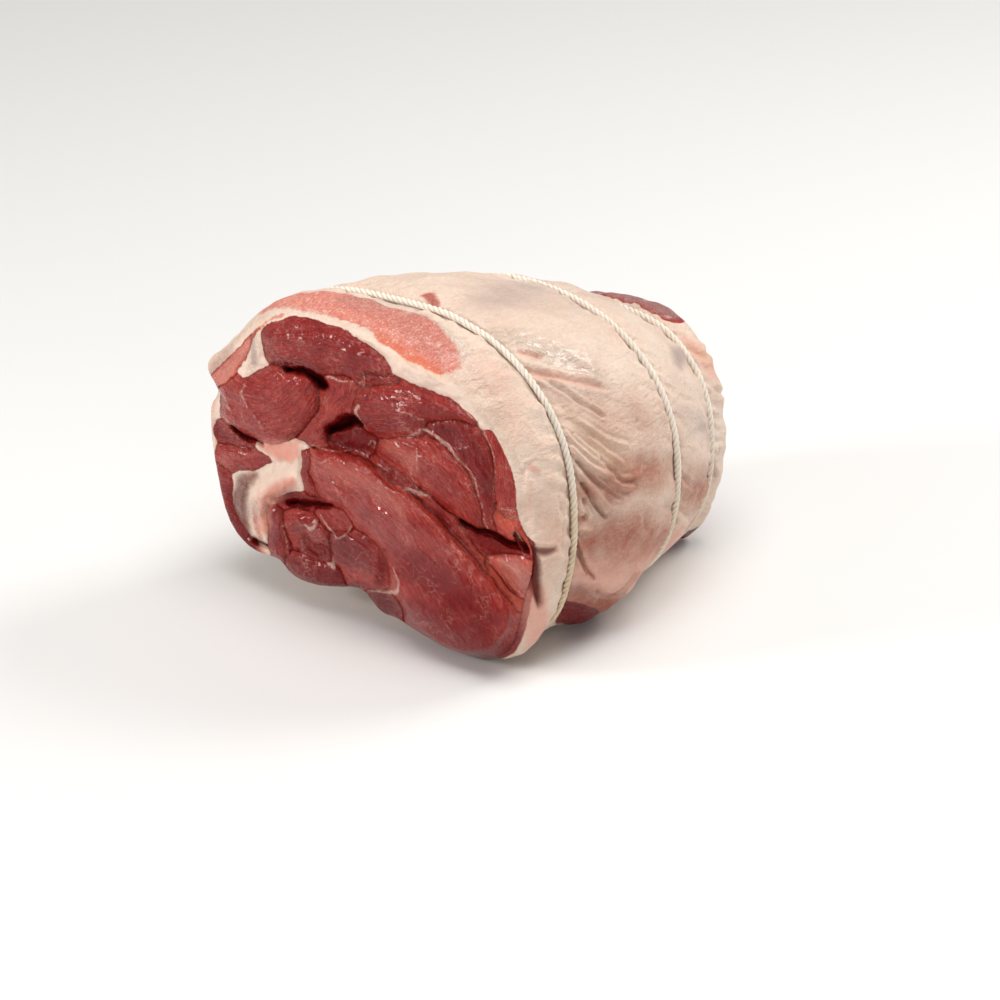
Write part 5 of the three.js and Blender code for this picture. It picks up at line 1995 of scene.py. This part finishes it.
@dataclass
class Studio:
    """The floor, the light and the camera.

    Attributes:
        place: Where the roll lies in the frame.
        azimuth: Where the camera stands round the roll, in degrees from the cut face's side.
        elevation: How steeply it looks down, in degrees.
        distance: How far it is from the point that it is set by, in mm.
        lens: Its focal length, in mm.
        sensor: The width of its sensor, in mm.
        aim_pixel: Where the roll's own zero point lies in the photograph.
        photo_side: The photograph's side, in pixels.
        floor_reach: How far the floor reaches from the roll, in metres.
        sky: The strength of the light from all round.
        lit_height: The height above the floor that the lamps face, in metres.
    """

    place: Place
    azimuth: float = 40.0
    elevation: float = 25.5
    distance: float = 1851.85
    lens: float = 180.0
    sensor: float = 36.0
    aim_pixel: tuple[float, float] = (442.0, 615.0)
    photo_side: int = 1000
    floor_reach: float = 6.0
    sky: float = 0.28
    lit_height: float = 0.06

    def build(self) -> None:
        """Makes the floor, the lights, the world and the camera."""
        self._camera()
        self._floor()
        self._world()
        for lamp in LAMPS:
            self._light(lamp)

    def _camera(self) -> None:
        """Puts the camera where the photograph was taken from."""
        turn, tilt = math.radians(self.azimuth), math.radians(self.elevation)
        right = np.array([math.cos(turn), math.sin(turn), 0.0])
        ahead = np.array([
            -math.sin(turn) * math.cos(tilt), math.cos(turn) * math.cos(tilt), -math.sin(tilt)
        ])
        up = np.cross(right, ahead)
        per_pixel = self.distance * self.sensor / self.lens / self.photo_side
        across = (self.aim_pixel[0] - self.photo_side / 2) * per_pixel
        down = (self.aim_pixel[1] - self.photo_side / 2) * per_pixel
        spot = -ahead * self.distance - right * across + up * down
        lens = bpy.data.cameras.new("camera")
        lens.lens = self.lens
        lens.sensor_width = self.sensor
        camera = bpy.data.objects.new("camera", lens)
        turned = Matrix((right, up, -ahead)).transposed().to_4x4()
        camera.matrix_world = Matrix.Translation(self.place.to_frame(spot)) @ turned
        bpy.context.scene.collection.objects.link(camera)
        bpy.context.scene.camera = camera

    def _floor(self) -> None:
        """A large pale floor under the roll."""
        form = bmesh.new()
        bmesh.ops.create_grid(form, x_segments=2, y_segments=2, size=self.floor_reach)
        mesh = bpy.data.meshes.new("floor")
        form.to_mesh(mesh)
        form.free()
        mesh.materials.append(FloorFinish().material())
        floor = bpy.data.objects.new("floor", mesh)
        bpy.context.scene.collection.objects.link(floor)

    def _world(self) -> None:
        """Soft light from all round."""
        world = bpy.data.worlds.new("studio")
        world.use_nodes = True
        background = world.node_tree.nodes["Background"]
        background.inputs["Color"].default_value = (1.0, 1.0, 1.0, 1.0)
        background.inputs["Strength"].default_value = self.sky
        bpy.context.scene.world = world
        bpy.context.scene.view_settings.view_transform = "Standard"

    def _light(self, lamp: Lamp) -> None:
        """Puts up one lamp.

        Args:
            lamp: The lamp.
        """
        glow = bpy.data.lights.new(lamp.name, "AREA")
        glow.size = lamp.side
        glow.energy = lamp.power
        glow.color = lamp.colour
        light = bpy.data.objects.new(lamp.name, glow)
        light.location = lamp.spot
        way = Vector((0, 0, self.lit_height)) - Vector(lamp.spot)
        light.rotation_mode = "QUATERNION"
        light.rotation_quaternion = way.to_track_quat("-Z", "Y")
        bpy.context.scene.collection.objects.link(light)


def main() -> None:
    """Builds the studio, the meat and the three loops of twine."""
    logging.basicConfig(level=logging.INFO, format="%(name)s: %(message)s")
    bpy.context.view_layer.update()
    place, axis = Place.from_first_loop(), Axis()
    Studio(place).build()
    loops = [LoopLine(name, place, axis) for name in LOOP_NODES]
    roll = Roll(place, axis, loops).build(MeatFinish())
    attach(roll, "root")
    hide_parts("meat")
    LOG.info("%s: %d faces", roll.name, len(roll.data.polygons))
    for line in loops:
        stain = FRONT_STAIN if line.name == LOOP_NODES[0] else OTHER_STAIN
        cord = Twine(line, place, axis, stain_depth=stain).build(TwineFinish())
        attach(cord, "root")
        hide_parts(line.name)
        LOG.info("%s: %d faces", cord.name, len(cord.data.polygons))


if __name__ == "__main__":
    main()
